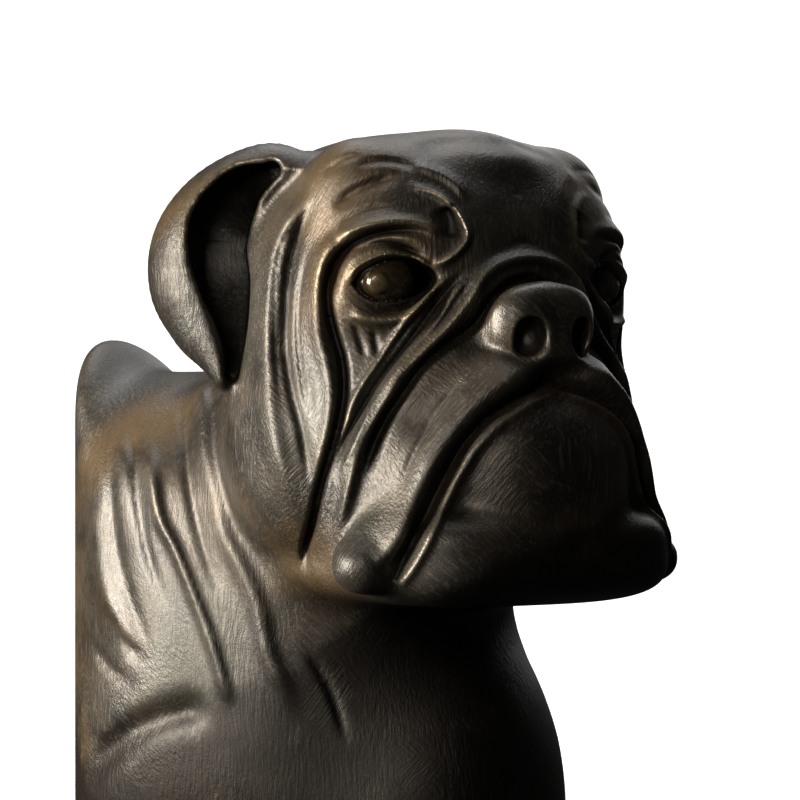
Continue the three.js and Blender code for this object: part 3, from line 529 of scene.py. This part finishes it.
def eye():
    """Tables of the distance outside the opening of the lids, and of the iris: a dome in a fine ring."""
    opening = sheet.even(FAR_AWAY)
    window, (distance, side, _) = sheet.near(smooth_curve(drawn(EYE_OPENING), 6), 8)
    opening[window] = side * distance
    from_iris = np.linalg.norm(sheet.places - np.float32(drawn([IRIS_PIXEL])[0]), axis=-1)
    dome = IRIS_HEIGHT * smooth_step(-from_iris, -IRIS_RADIUS, IRIS_EDGE - IRIS_RADIUS)
    return opening, dome - IRIS_RING_DEPTH * profile(from_iris - IRIS_RADIUS, IRIS_RING_WIDTH)


head_relief = raised_by(HEAD_FOLDS) - mouth()
eye_tables = eye()
body_relief = raised_by(BODY_FOLDS)
ear_tables = flap(EAR_MIDDLE, EAR_HALF_WIDTHS, EAR_BACKS, EAR_FRONTS, reach=22)
pocket_tables = flap(POCKET_MIDDLE, POCKET_HALF_WIDTHS, POCKET_FLOORS, reach=12)


def rounded_slab(beyond, near, back, front):
    """Distance to a slab with rounded edges, given the distance beyond its side and its two depths."""
    round_off = (front - back) / 2 * 0.98
    x = beyond + round_off
    y = np.abs(near - (back + front) / 2) - (front - back) / 2 + round_off
    return np.hypot(np.maximum(x, 0), np.maximum(y, 0)) + np.minimum(np.maximum(x, y), 0) - round_off


def ear(place, near):
    """The hanging ear: a rounded flap about its middle line."""
    beyond, back, front = sheet.look_up(place, *ear_tables)
    return np.minimum(rounded_slab(beyond, near, back, front), FAR_AWAY)


def ear_pocket(place, near):
    """The deep hollow between the ear's rim and the side of the head, down to a floor."""
    beyond, floor = sheet.look_up(place, *pocket_tables)
    return np.maximum(beyond, floor - near)


def head(cluster):
    """The head, worked out on the dog's right and mirrored: masses joined, folds pressed in, ears hung."""
    right = Cluster(cluster.points * np.float32([1, 0, 1]) - np.abs(cluster.points) * np.float32([0, 1, 0]))
    place, near = seen(right.points)
    d = mass(right, *SKULL)
    for at, radii, power, soft in SKULL_PARTS:
        d = blend(d, mass(right, at, radii, power), soft)
    d = blend(d, blend(mass(right, *CHIN), mass(right, *JAW_EDGE), CHIN_SOFT), JAW_SOFT)
    lip = blend(mass(right, *LIP_SIDE, LIP_SIDE_YAW), lip_rope.measure(right), LIP_ROPE_SOFT)
    d = blend(d, lip, LIP_SOFT)
    d = blend(d, mass(right, *NOSE_BRIDGE), BRIDGE_SOFT)
    d = blend(d, mass(right, *NOSE), NOSE_SOFT)
    d = cut(d, mass(right, *EYE_SOCKET), SOCKET_SOFT)
    d = blend(d, mass(right, *EYELIDS), LIDS_SOFT)
    if d is not None:
        front = smooth_step(near, -16, -6)
        if front.max() > 0:
            far_brow = smooth_step(cluster.points[:, 1], 8, 14) * smooth_step(cluster.points[:, 2], 2, 8)
            d = d - front * (1 - FAR_BROW_SOFTENED * far_brow) * sheet.look_up(place, head_relief)[0]
    d = blend(d, mass(right, *LIP_DROP), LIP_DROP_SOFT)
    eyeball = mass(right, *EYEBALL)
    if eyeball is not None:
        opening, iris = sheet.look_up(place, *eye_tables)
        d = cut(d, np.maximum(opening, EYE_OPENING_FLOOR - near), OPENING_SOFT)
        d = np.minimum(d, eyeball - iris)
    d = cut(d, mass(right, *NOSTRIL), NOSTRIL_SOFT)
    if ear_box.misses(right.low, right.high):
        return d
    d = blend(d, ear(place, near), EAR_SOFT)
    return cut(d, ear_pocket(place, near), POCKET_SOFT)


def to_body(points):
    """From the head's frame to the body's, turned about the neck pivot."""
    x, y = points[:, 0] + NECK_PIVOT, points[:, 1]
    return np.column_stack([x * TURN_COS + y * TURN_SIN, y * TURN_COS - x * TURN_SIN, points[:, 2]])


def body(cluster):
    """Torso, chest, withers and both shoulders, rounded off behind as an upright elliptic cylinder."""
    b = Cluster(to_body(cluster.points).astype(np.float32))
    right = Cluster(b.points * np.float32([1, 0, 1]) - np.abs(b.points) * np.float32([0, 1, 0]))
    d = blend(mass(b, *TORSO), mass(b, *CHEST), CHEST_SOFT)
    d = blend(d, mass(b, *WITHERS), WITHERS_SOFT)
    d = blend(d, mass(b, *NAPE), NAPE_SOFT)
    d = blend(d, mass(right, *SHOULDER), SHOULDER_SOFT)
    behind = np.minimum(b.points[:, 0] - REAR_CENTRE, 0) / REAR_LENGTH
    return cut(d, (1 - np.hypot(behind, b.points[:, 1] / REAR_HALF_WIDTH)) * REAR_SCALE, REAR_SOFT)


def bust(points):
    """Signed distance of the whole casting, negative inside, cut flat at the underside."""
    cluster = Cluster(points)
    trunk = blend(neck_rope.measure(cluster), body(cluster), TRUNK_SOFT)
    if trunk is not None:
        place, near = seen(points)
        front = smooth_step(near, -40, -28)
        if front.max() > 0:
            trunk = trunk - front * sheet.look_up(place, body_relief)[0]
    d = blend(head(cluster), trunk, NECK_JOIN_SOFT)
    if d is None:
        d = np.full(len(points), FAR_AWAY, np.float32)
    return np.maximum(d, UNDERSIDE - points[:, 2]).astype(np.float32)


def in_clusters(field, points):
    """The field at many points, taken in neighbouring clusters side by side."""
    cell = np.floor((points - points.min(axis=0)) / CLUSTER).astype(np.int64)
    key = (cell[:, 0] * 1000 + cell[:, 1]) * 1000 + cell[:, 2]
    order = np.argsort(key, kind="stable")
    starts = np.flatnonzero(np.diff(key[order])) + 1
    groups = np.split(order, starts)
    values = np.empty(len(points), np.float32)

    def work(group):
        values[group] = field(points[group])

    with ThreadPoolExecutor(4) as pool:
        list(pool.map(work, groups))
    return values


def stretches(stops):
    """Grid places along one axis: each stretch has its own pitch, and the count is a multiple of COARSE."""
    places = [stops[0][0]]
    for (start, pitch), (stop, _) in zip(stops[:-1], stops[1:]):
        count = max(1, round((stop - start) / pitch / COARSE)) * COARSE
        places.extend(np.linspace(start, stop, count + 1)[1:])
    return np.float32(places)


def sampled(field, axes):
    """The field on the grid, worked out only in blocks near the surface; elsewhere only its sign counts."""
    coarse = [axis[::COARSE] for axis in axes]
    corners = np.stack(np.meshgrid(*coarse, indexing="ij"), axis=-1).astype(np.float32)
    rough = in_clusters(field, corners.reshape(-1, 3)).reshape(corners.shape[:3])
    size = np.sqrt(sum(step ** 2 for step in np.meshgrid(*[np.diff(c) for c in coarse], indexing="ij")))
    eight = np.stack([rough[i:rough.shape[0] - 1 + i, j:rough.shape[1] - 1 + j, k:rough.shape[2] - 1 + k]
                      for i in (0, 1) for j in (0, 1) for k in (0, 1)])
    crossed = (eight.min(axis=0) < 0) & (eight.max(axis=0) >= 0)
    wanted = crossed | (np.abs(eight).min(axis=0) < NEAR_SHARE * size + NEAR_MARGIN)
    values = np.where(eight[0] < 0, -FAR_AWAY, FAR_AWAY).astype(np.float32)
    for axis in range(3):
        values = np.repeat(values, COARSE, axis=axis)
        wanted = np.repeat(wanted, COARSE, axis=axis)
    values = np.pad(values, ((0, 1),) * 3, mode="edge")
    nodes = np.zeros(values.shape, bool)
    n = wanted.shape
    for i in (0, 1):
        for j in (0, 1):
            for k in (0, 1):
                nodes[i:n[0] + i, j:n[1] + j, k:n[2] + k] |= wanted
    at = np.argwhere(nodes)
    points = np.column_stack([axes[i][at[:, i]] for i in range(3)])
    values[nodes] = in_clusters(field, points)
    values[values == 0] = 1e-6
    return values


def untangled(values):
    """Fills the nearer outside corner of each grid square whose diagonals disagree.

    The skin then never touches itself along an edge."""
    for _ in range(UNTANGLE_ROUNDS):
        changed = False
        for one in range(3):
            two = (one + 1) % 3
            square = []
            for x, y in ((0, 0), (1, 0), (1, 1), (0, 1)):
                cells = [slice(None)] * 3
                cells[one] = slice(x, values.shape[one] - 1 + x)
                cells[two] = slice(y, values.shape[two] - 1 + y)
                square.append((values[tuple(cells)], (x, y)))
            inside = [corner < 0 for corner, _ in square]
            bad = (inside[0] == inside[2]) & (inside[1] == inside[3]) & (inside[0] != inside[1])
            at = np.argwhere(bad)
            if not len(at):
                continue
            changed = True
            corners = np.stack([corner[bad] for corner, _ in square])
            pick = np.argmin(np.where(corners >= 0, corners, np.inf), axis=0)
            offset = np.array([xy for _, xy in square])[pick]
            at[:, one] += offset[:, 0]
            at[:, two] += offset[:, 1]
            values[tuple(at.T)] = JUST_INSIDE
        if not changed:
            break
    return values


def net(values, axes):
    """Surface net: a point in each crossed cell, at the mean of its edges' crossings.

    Round each crossed edge is one four-sided face, wound so that it faces out."""
    cells = np.array(values.shape) - 1
    owners, crossings, faces = [], [], []
    for a in range(3):
        b, c = (a + 1) % 3, (a + 2) % 3
        first = [slice(1, -1)] * 3
        second = [slice(1, -1)] * 3
        first[a], second[a] = slice(0, -1), slice(1, None)
        start, stop = values[tuple(first)], values[tuple(second)]
        at = np.argwhere((start < 0) != (stop < 0))
        one, other = start[tuple(at.T)], stop[tuple(at.T)]
        share = one / (one - other)
        at[:, b] += 1
        at[:, c] += 1
        crossing = np.column_stack([axes[i][at[:, i]] for i in range(3)])
        crossing[:, a] += share * (axes[a][at[:, a] + 1] - axes[a][at[:, a]])
        ring = []
        for db, dc in ((-1, -1), (0, -1), (0, 0), (-1, 0)):
            cell = at.copy()
            cell[:, b] += db
            cell[:, c] += dc
            ring.append(np.ravel_multi_index(cell.T, cells))
        ring = np.column_stack(ring)
        ring[one >= 0] = ring[one >= 0][:, ::-1]
        faces.append(ring)
        owners.append(ring.ravel())
        crossings.append(np.repeat(crossing, 4, axis=0))
    owners, crossings = np.concatenate(owners), np.concatenate(crossings)
    used, index = np.unique(owners, return_inverse=True)
    count = np.bincount(index)
    points = np.column_stack([np.bincount(index, crossings[:, i]) / count for i in range(3)])
    return points.astype(np.float32), np.searchsorted(used, np.concatenate(faces))


def settled(field, points, limit):
    """Each point moved once along the slope onto the surface, by no more than the limit."""
    step = np.float32(SLOPE_STEP)
    here = in_clusters(field, points)
    ahead = [in_clusters(field, points + step * axis) for axis in np.eye(3, dtype=np.float32)]
    slope = np.column_stack([(value - here) / step for value in ahead])
    move = -slope * (here / np.maximum(np.sum(slope ** 2, axis=1), LEAST_SLOPE))[:, None]
    length = np.linalg.norm(move, axis=1, keepdims=True)
    return points + move * np.minimum(1, limit / np.maximum(length, 1e-9))


def placed(points):
    """From the head's frame to metres in the part's: body facing -Y, its left +X, underside at nought."""
    b = to_body(points)
    left, back, up = b[:, 1] * UNIT_M, -b[:, 0] * UNIT_M, (b[:, 2] - UNDERSIDE) * UNIT_M
    return SNUG * np.column_stack([left - MIDDLE_M[0], back - MIDDLE_M[1], up])


def mesh_of(name, points, faces):
    """A mesh object at the origin from points in metres and equal-sided faces."""
    mesh = bpy.data.meshes.new(name)
    sides = faces.shape[1]
    mesh.vertices.add(len(points))
    mesh.vertices.foreach_set("co", points.astype(np.float32).ravel())
    mesh.loops.add(faces.size)
    mesh.loops.foreach_set("vertex_index", faces.astype(np.int32).ravel())
    mesh.polygons.add(len(faces))
    mesh.polygons.foreach_set("loop_start", (np.arange(len(faces)) * sides).astype(np.int32))
    mesh.polygons.foreach_set("use_smooth", np.ones(len(faces), bool))
    mesh.update(calc_edges=True)
    mesh.validate()
    piece = bpy.data.objects.new(name, mesh)
    bpy.context.scene.collection.objects.link(piece)
    return piece


def thinned(piece, triangles):
    """The piece's four-sided faces made triangles, with edges drawn together until that many are left."""
    modifier = piece.modifiers.new("thin", "DECIMATE")
    modifier.ratio = min(1.0, triangles / (2 * len(piece.data.polygons)))
    modifier.use_collapse_triangulate = True
    ready = piece.evaluated_get(bpy.context.evaluated_depsgraph_get())
    mesh = bpy.data.meshes.new_from_object(ready)
    piece.modifiers.remove(modifier)
    old = piece.data
    piece.data = mesh
    bpy.data.meshes.remove(old)
    mesh.name = piece.name
    return piece


def store_ridges(piece):
    """Stores how each point stands out from its neighbours' mean, along its normal, over their distance.

    ridge is that value evened over near neighbours; broad_ridge is evened over far ones as well."""
    mesh = piece.data
    count = len(mesh.vertices)
    at = np.empty(count * 3, np.float32)
    normal = np.empty(count * 3, np.float32)
    ends = np.empty(len(mesh.edges) * 2, np.int32)
    mesh.vertices.foreach_get("co", at)
    mesh.vertices.foreach_get("normal", normal)
    mesh.edges.foreach_get("vertices", ends)
    at, normal, ends = at.reshape(-1, 3), normal.reshape(-1, 3), ends.reshape(-1, 2)
    one, two = ends.T
    degree = np.bincount(one, minlength=count) + np.bincount(two, minlength=count)

    def neighbours_mean(value):
        return (np.bincount(one, value[two], count) + np.bincount(two, value[one], count)) / degree

    away = at[two] - at[one]
    length = np.linalg.norm(away, axis=1)
    lean_one = -np.einsum("ij,ij->i", away, normal[one]) / length ** 2
    lean_two = np.einsum("ij,ij->i", away, normal[two]) / length ** 2
    stand = (np.bincount(one, lean_one, count) + np.bincount(two, lean_two, count)) / degree
    stand = np.clip(stand, -STAND_LIMIT, STAND_LIMIT)
    for name, passes, scale in RELIEFS:
        value = stand
        for _ in range(passes):
            value = 0.4 * value + 0.6 * neighbours_mean(value)
        store = mesh.attributes.new(name, "FLOAT", "POINT")
        store.data.foreach_set("value", np.clip(value * scale, -1, 1).astype(np.float32))


def to_head(points):
    """From metres in the part's frame back to the head's frame."""
    left = (points[:, 0] + MIDDLE_M[0]) / UNIT_M
    forward = (-points[:, 1] - MIDDLE_M[1]) / UNIT_M
    x = forward * TURN_COS - left * TURN_SIN - NECK_PIVOT
    y = forward * TURN_SIN + left * TURN_COS
    return np.column_stack([x, y, points[:, 2] / UNIT_M + UNDERSIDE]).astype(np.float32)


def store_handling(piece):
    """Stores polish on the eyeballs and the nose, and a darkening mask: painted shade below a slanting line,
    and darker ears.

    The line is SHADE_LINE in the view: height = start + slope * across."""
    mesh = piece.data
    at = np.empty(len(mesh.vertices) * 3, np.float32)
    mesh.vertices.foreach_get("co", at)
    points = to_head(at.reshape(-1, 3))
    place, _ = seen(points)
    # Painted shade over the lower chest and neck, below a slanting line in the view
    start, slope = SHADE_LINE
    below = smooth_step(start + slope * place[:, 0] - place[:, 1], -SHADE_LINE_FADE, SHADE_LINE_FADE)
    points[:, 1] = -np.abs(points[:, 1])
    everywhere = Cluster(points)
    ears = smooth_step(-ear(*seen(points)), -1.0, -0.3)
    eyes = smooth_step(-mass(everywhere, *EYEBALL), -0.5, -0.15)
    nose = smooth_step(-mass(everywhere, *NOSE), -1.0, -0.3)
    store = mesh.attributes.new("polish", "FLOAT", "POINT")
    store.data.foreach_set("value", np.maximum(eyes, NOSE_POLISH * nose).astype(np.float32))
    # A mask of painted shade low down, and of darker ears
    store = mesh.attributes.new("low_shade_and_dark_ears", "FLOAT", "POINT")
    store.data.foreach_set("value", np.maximum(LOW_SHADE * below, EAR_DARKENING * ears).astype(np.float32))


def make_bust():
    """The casting as one closed skin, fine over the face and coarser behind."""
    axes = [stretches(stops) for stops in (FORWARD_STRETCHES, LEFT_STRETCHES, UP_STRETCHES)]
    points, faces = net(untangled(sampled(bust, axes)), axes)
    points = settled(bust, points, SETTLE_LIMIT)
    points[:, 2] = np.where(points[:, 2] < UNDERSIDE + FLAT_BELOW, UNDERSIDE, points[:, 2])
    piece = thinned(mesh_of("bronze_bust", placed(points), faces), TRIANGLES)
    store_ridges(piece)
    store_handling(piece)
    return piece


class Socket:
    """A shader value: arithmetic on it adds Math nodes."""

    def __init__(self, graph, link):
        self.graph = graph
        self.link = link

    def math(self, operation, *others):
        """A Math node, or a Vector Math node where either value is a vector or colour."""
        vector = any(v.link.type in ("VECTOR", "RGBA") for v in (self, *others) if isinstance(v, Socket))
        kind = "ShaderNodeVectorMath" if vector else "ShaderNodeMath"
        others = [(v, v, v) if vector and isinstance(v, (int, float)) else v for v in others]
        return self.graph.node(kind, {"operation": operation}, self, *others)

    def __add__(self, other):
        return self.math("ADD", other)

    def __radd__(self, other):
        return self.math("ADD", other)

    def __sub__(self, other):
        return self.math("SUBTRACT", other)

    def __rsub__(self, other):
        return self.graph.node("ShaderNodeMath", {"operation": "SUBTRACT"}, other, self)

    def __mul__(self, other):
        return self.math("MULTIPLY", other)

    def __rmul__(self, other):
        return self.math("MULTIPLY", other)

    def step(self, low, high):
        """0 below low, 1 above high, smooth between."""
        settings = {"interpolation_type": "SMOOTHSTEP"}
        return self.graph.node("ShaderNodeMapRange", settings, self, low, high, 0.0, 1.0)


class Graph:
    """The nodes of one material."""

    def __init__(self, name):
        self.material = bpy.data.materials.new(name)
        self.material.use_nodes = True
        self.tree = self.material.node_tree
        self.tree.nodes.clear()

    def node(self, kind, settings=None, *values, output=0, **named):
        """Adds a node: its settings first, then its sockets' values or links, by place or by name."""
        node = self.tree.nodes.new(kind)
        for key, value in (settings or {}).items():
            setattr(node, key, value)
        for key, value in list(enumerate(values)) + [(k.replace("_", " "), v) for k, v in named.items()]:
            socket = node.inputs[key]
            if isinstance(value, Socket):
                self.tree.links.new(value.link, socket)
            else:
                socket.default_value = value
        return Socket(self, node.outputs[output]) if node.outputs else node

    def mix(self, share, one, other):
        """Two colours mixed by a value."""
        node = self.tree.nodes.new("ShaderNodeMix")
        node.data_type = "RGBA"
        for key, value in ((0, share), (6, one), (7, other)):
            if isinstance(value, Socket):
                self.tree.links.new(value.link, node.inputs[key])
            else:
                node.inputs[key].default_value = value
        return Socket(self, node.outputs[2])


def strokes(g, place, lean):
    """Noise drawn out into strokes that lie in the picture's plane, leaning that far from upright."""
    settings = {"vector_type": "TEXTURE"}
    size = (STROKE_WIDTH_M, STROKE_WIDTH_M, STROKE_LENGTH_M)
    turned = (lean, 0, STROKE_TURN)
    drawn_out = g.node("ShaderNodeMapping", settings, Vector=place, Rotation=turned, Scale=size)
    return g.node("ShaderNodeTexNoise", {}, Vector=drawn_out, Scale=1.0, Detail=3.0, Roughness=0.6)


def bronze():
    """Dark brown-black patina, rubbed paler on the ridges and strokes of the tool, with painted shade in the
    creases and low down, and darker ears.
    """
    g = Graph("bronze_patina")
    place = g.node("ShaderNodeTexCoord", output="Object")
    ridge = g.node("ShaderNodeAttribute", {"attribute_name": "ridge"}, output="Fac")
    broad = g.node("ShaderNodeAttribute", {"attribute_name": "broad_ridge"}, output="Fac")
    polish = g.node("ShaderNodeAttribute", {"attribute_name": "polish"}, output="Fac")
    low_shade_and_dark_ears = g.node("ShaderNodeAttribute", {"attribute_name": "low_shade_and_dark_ears"}, output="Fac")
    warped = place + 0.012 * g.node("ShaderNodeTexNoise", {}, Vector=place, Scale=22.0, output="Color")
    blotches = g.node("ShaderNodeTexNoise", {}, Vector=warped, Scale=34.0, Detail=6.0, Roughness=0.62)
    patches = g.node("ShaderNodeTexNoise", {}, Vector=place, Scale=11.0, Detail=3.0, Roughness=0.5)
    grain = g.node("ShaderNodeTexNoise", {}, Vector=place, Scale=520.0, Detail=3.0, Roughness=0.6)
    pitting = g.node("ShaderNodeTexNoise", {}, Vector=place, Scale=1500.0, Detail=2.0, Roughness=0.5)

    upright, leaning, falling = (strokes(g, warped, lean) for lean in STROKE_LEANS)
    where = g.node("ShaderNodeTexNoise", {}, Vector=place, Scale=16.0, Detail=2.0)
    other = g.node("ShaderNodeTexNoise", {}, Vector=place, Scale=19.0, Detail=2.0)
    cuts = upright + where.step(0.47, 0.56) * (leaning - upright)
    cuts = cuts + other.step(0.54, 0.62) * (falling - cuts)
    rough_worked = g.node("ShaderNodeTexNoise", {}, Vector=place, Scale=8.0, Detail=1.0).step(0.3, 0.6)
    worn = cuts.step(0.5, 0.68) * (0.4 + 0.6 * rough_worked)

    high = ridge.step(0.12, 0.75)
    edge = broad.step(0.25, 0.9)
    # Hollows and creases, where painted shade darkens the colour below
    deep = (0 - ridge).step(0.05, 0.6)
    brown = g.mix(blotches.step(0.36, 0.66), BROWN_BLACK, BROWN)
    warm = g.mix(patches.step(0.5, 0.68) * 0.6, brown, WARM_BROWN)
    green = g.mix((1 - patches).step(0.5, 0.68) * 0.35 * blotches, warm, GREY_GREEN)
    rubbed = g.mix(high * (0.25 + 0.6 * blotches), green, RUBBED_BRONZE)
    gilt = g.mix(edge * patches.step(0.4, 0.6) * 0.35, rubbed, GOLDEN_EDGE)
    marked = g.mix(worn * 0.4, gilt, TOOL_MARK)
    # Painted shade low down, which also darkens the ears, broken up by the blotches
    low_shade_and_dark_ears_mask = (low_shade_and_dark_ears + (blotches - 0.5) * 2.2).step(0.25, 0.8)
    with_low_shade_and_dark_ears = g.mix(low_shade_and_dark_ears_mask * 0.9, marked, LOW_SHADE_AND_EAR_DARK)
    # Painted shade in the creases and hollows
    colour = g.mix(deep * 0.7, with_low_shade_and_dark_ears, CREASE_SHADE)

    rough = 0.28 + 0.20 * blotches + 0.12 * grain - 0.06 * high + 0.16 * deep + 0.04 * low_shade_and_dark_ears_mask - 0.2 * polish
    texture = 0.25 * grain + 0.18 * pitting + 0.9 * cuts + 0.5 * blotches
    height = texture * (0.5 + 0.6 * rough_worked) * (1 - 0.85 * polish)
    bump = g.node("ShaderNodeBump", {}, Strength=0.62, Distance=0.0008, Height=height)
    shader = g.node("ShaderNodeBsdfPrincipled", {}, Base_Color=colour, Roughness=rough,
                    Metallic=0.45 + 0.3 * high + 0.25 * low_shade_and_dark_ears_mask, Normal=bump)
    g.node("ShaderNodeOutputMaterial", {}, shader)
    return g.material


def plain(name, colour, roughness, glow):
    """One even matt colour with a little light of its own, for the floor."""
    g = Graph(name)
    shader = g.node("ShaderNodeBsdfPrincipled", {}, Base_Color=colour, Roughness=roughness,
                    Emission_Color=colour, Emission_Strength=glow)
    g.node("ShaderNodeOutputMaterial", {}, shader)
    return g.material


def make_floor():
    """A floor that curves up into a backdrop: a profile in the plane of the sight line, carried sideways."""
    turn = np.linspace(0, math.pi / 2, 24)
    bend_out = FLOOR_BACK - FLOOR_BEND * (1 - np.sin(turn))
    out = np.concatenate([[-FLOOR_NEAR], bend_out, [FLOOR_BACK]])
    up = np.concatenate([[0.0], FLOOR_BEND * (1 - np.cos(turn)), [BACKDROP_HEIGHT]])
    side = np.array([-FLOOR_HALF_WIDTH, FLOOR_HALF_WIDTH])
    away = -view_direction()
    right = np.array([away[1], -away[0], 0])
    along, across, height = out[:, None, None] * away, side[None, :, None] * right, up[:, None, None]
    points = (along + across + height * np.array([0, 0, 1.0])).reshape(-1, 3)
    row = np.arange(len(out) - 1)[:, None] * 2 + np.array([[0, 1, 3, 2]])
    floor = mesh_of("floor", points, row)
    floor.data.materials.append(plain("white_floor", FLOOR_COLOUR, FLOOR_ROUGHNESS, FLOOR_GLOW))
    floor.visible_diffuse = False
    floor.visible_glossy = False
    return floor


def view_direction():
    """Vector from the head towards the camera, in the part's frame; its length is SNUG."""
    ends = placed(np.array([[0.0, 0, 0], [VIEW_COS, -VIEW_SIN, 0]]))
    return (ends[1] - ends[0]) / UNIT_M


def make_camera():
    """The photo's view: level, on the dog's right front, its middle passing beside and below the eyes."""
    near = Vector(view_direction())
    up = Vector((0, 0, 1))
    right = up.cross(near)
    middle = placed(np.array([[VIEW_SIN * -VIEW_ACROSS, VIEW_COS * -VIEW_ACROSS, -VIEW_BELOW]]))[0]
    camera = bpy.data.objects.new("camera", bpy.data.cameras.new("camera"))
    camera.data.sensor_width = SENSOR_WIDTH
    camera.data.lens = SENSOR_WIDTH * VIEW_DISTANCE / (PICTURE_WIDTH * PIXEL)
    camera.data.clip_end = SIGHT_END_M
    axes = Matrix((right, up, near)).transposed().to_4x4()
    camera.matrix_world = Matrix.Translation(Vector(middle) + near * VIEW_DISTANCE * UNIT_M) @ axes
    bpy.context.scene.collection.objects.link(camera)
    bpy.context.scene.camera = camera
    return right, up, near, Vector(middle)


def soft_light(name, at, towards, size, power, colour):
    """A square soft light turned towards a point."""
    lamp = bpy.data.lights.new(name, "AREA")
    lamp.shape = "SQUARE"
    lamp.size = size
    lamp.energy = power
    lamp.color = colour
    light = bpy.data.objects.new(name, lamp)
    turned = (at - towards).to_track_quat("Z", "Y").to_matrix().to_4x4()
    light.matrix_world = Matrix.Translation(at) @ turned
    bpy.context.scene.collection.objects.link(light)


def make_lights(right, up, near, middle):
    """A soft key light from the picture's left, a weak front one, one behind, and one over the backdrop."""
    for name, place, aim, size, power, colour in LIGHTS:
        at, towards = (middle + right * x + near * y + up * z for x, y, z in (place, aim))
        soft_light(name, at, towards, size, power, colour)
    world = bpy.data.worlds.new("studio")
    world.use_nodes = True
    world.node_tree.nodes["Background"].inputs[0].default_value = (1, 1, 1, 1)
    world.node_tree.nodes["Background"].inputs[1].default_value = EVEN_LIGHT
    bpy.context.scene.world = world


camera_axes = make_camera()
make_floor()
make_lights(*camera_axes)
bpy.context.scene.view_settings.view_transform = "Standard"

bronze_bust = make_bust()
bronze_bust.data.materials.append(bronze())
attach(bronze_bust, "root")
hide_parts("bulldog_bust")
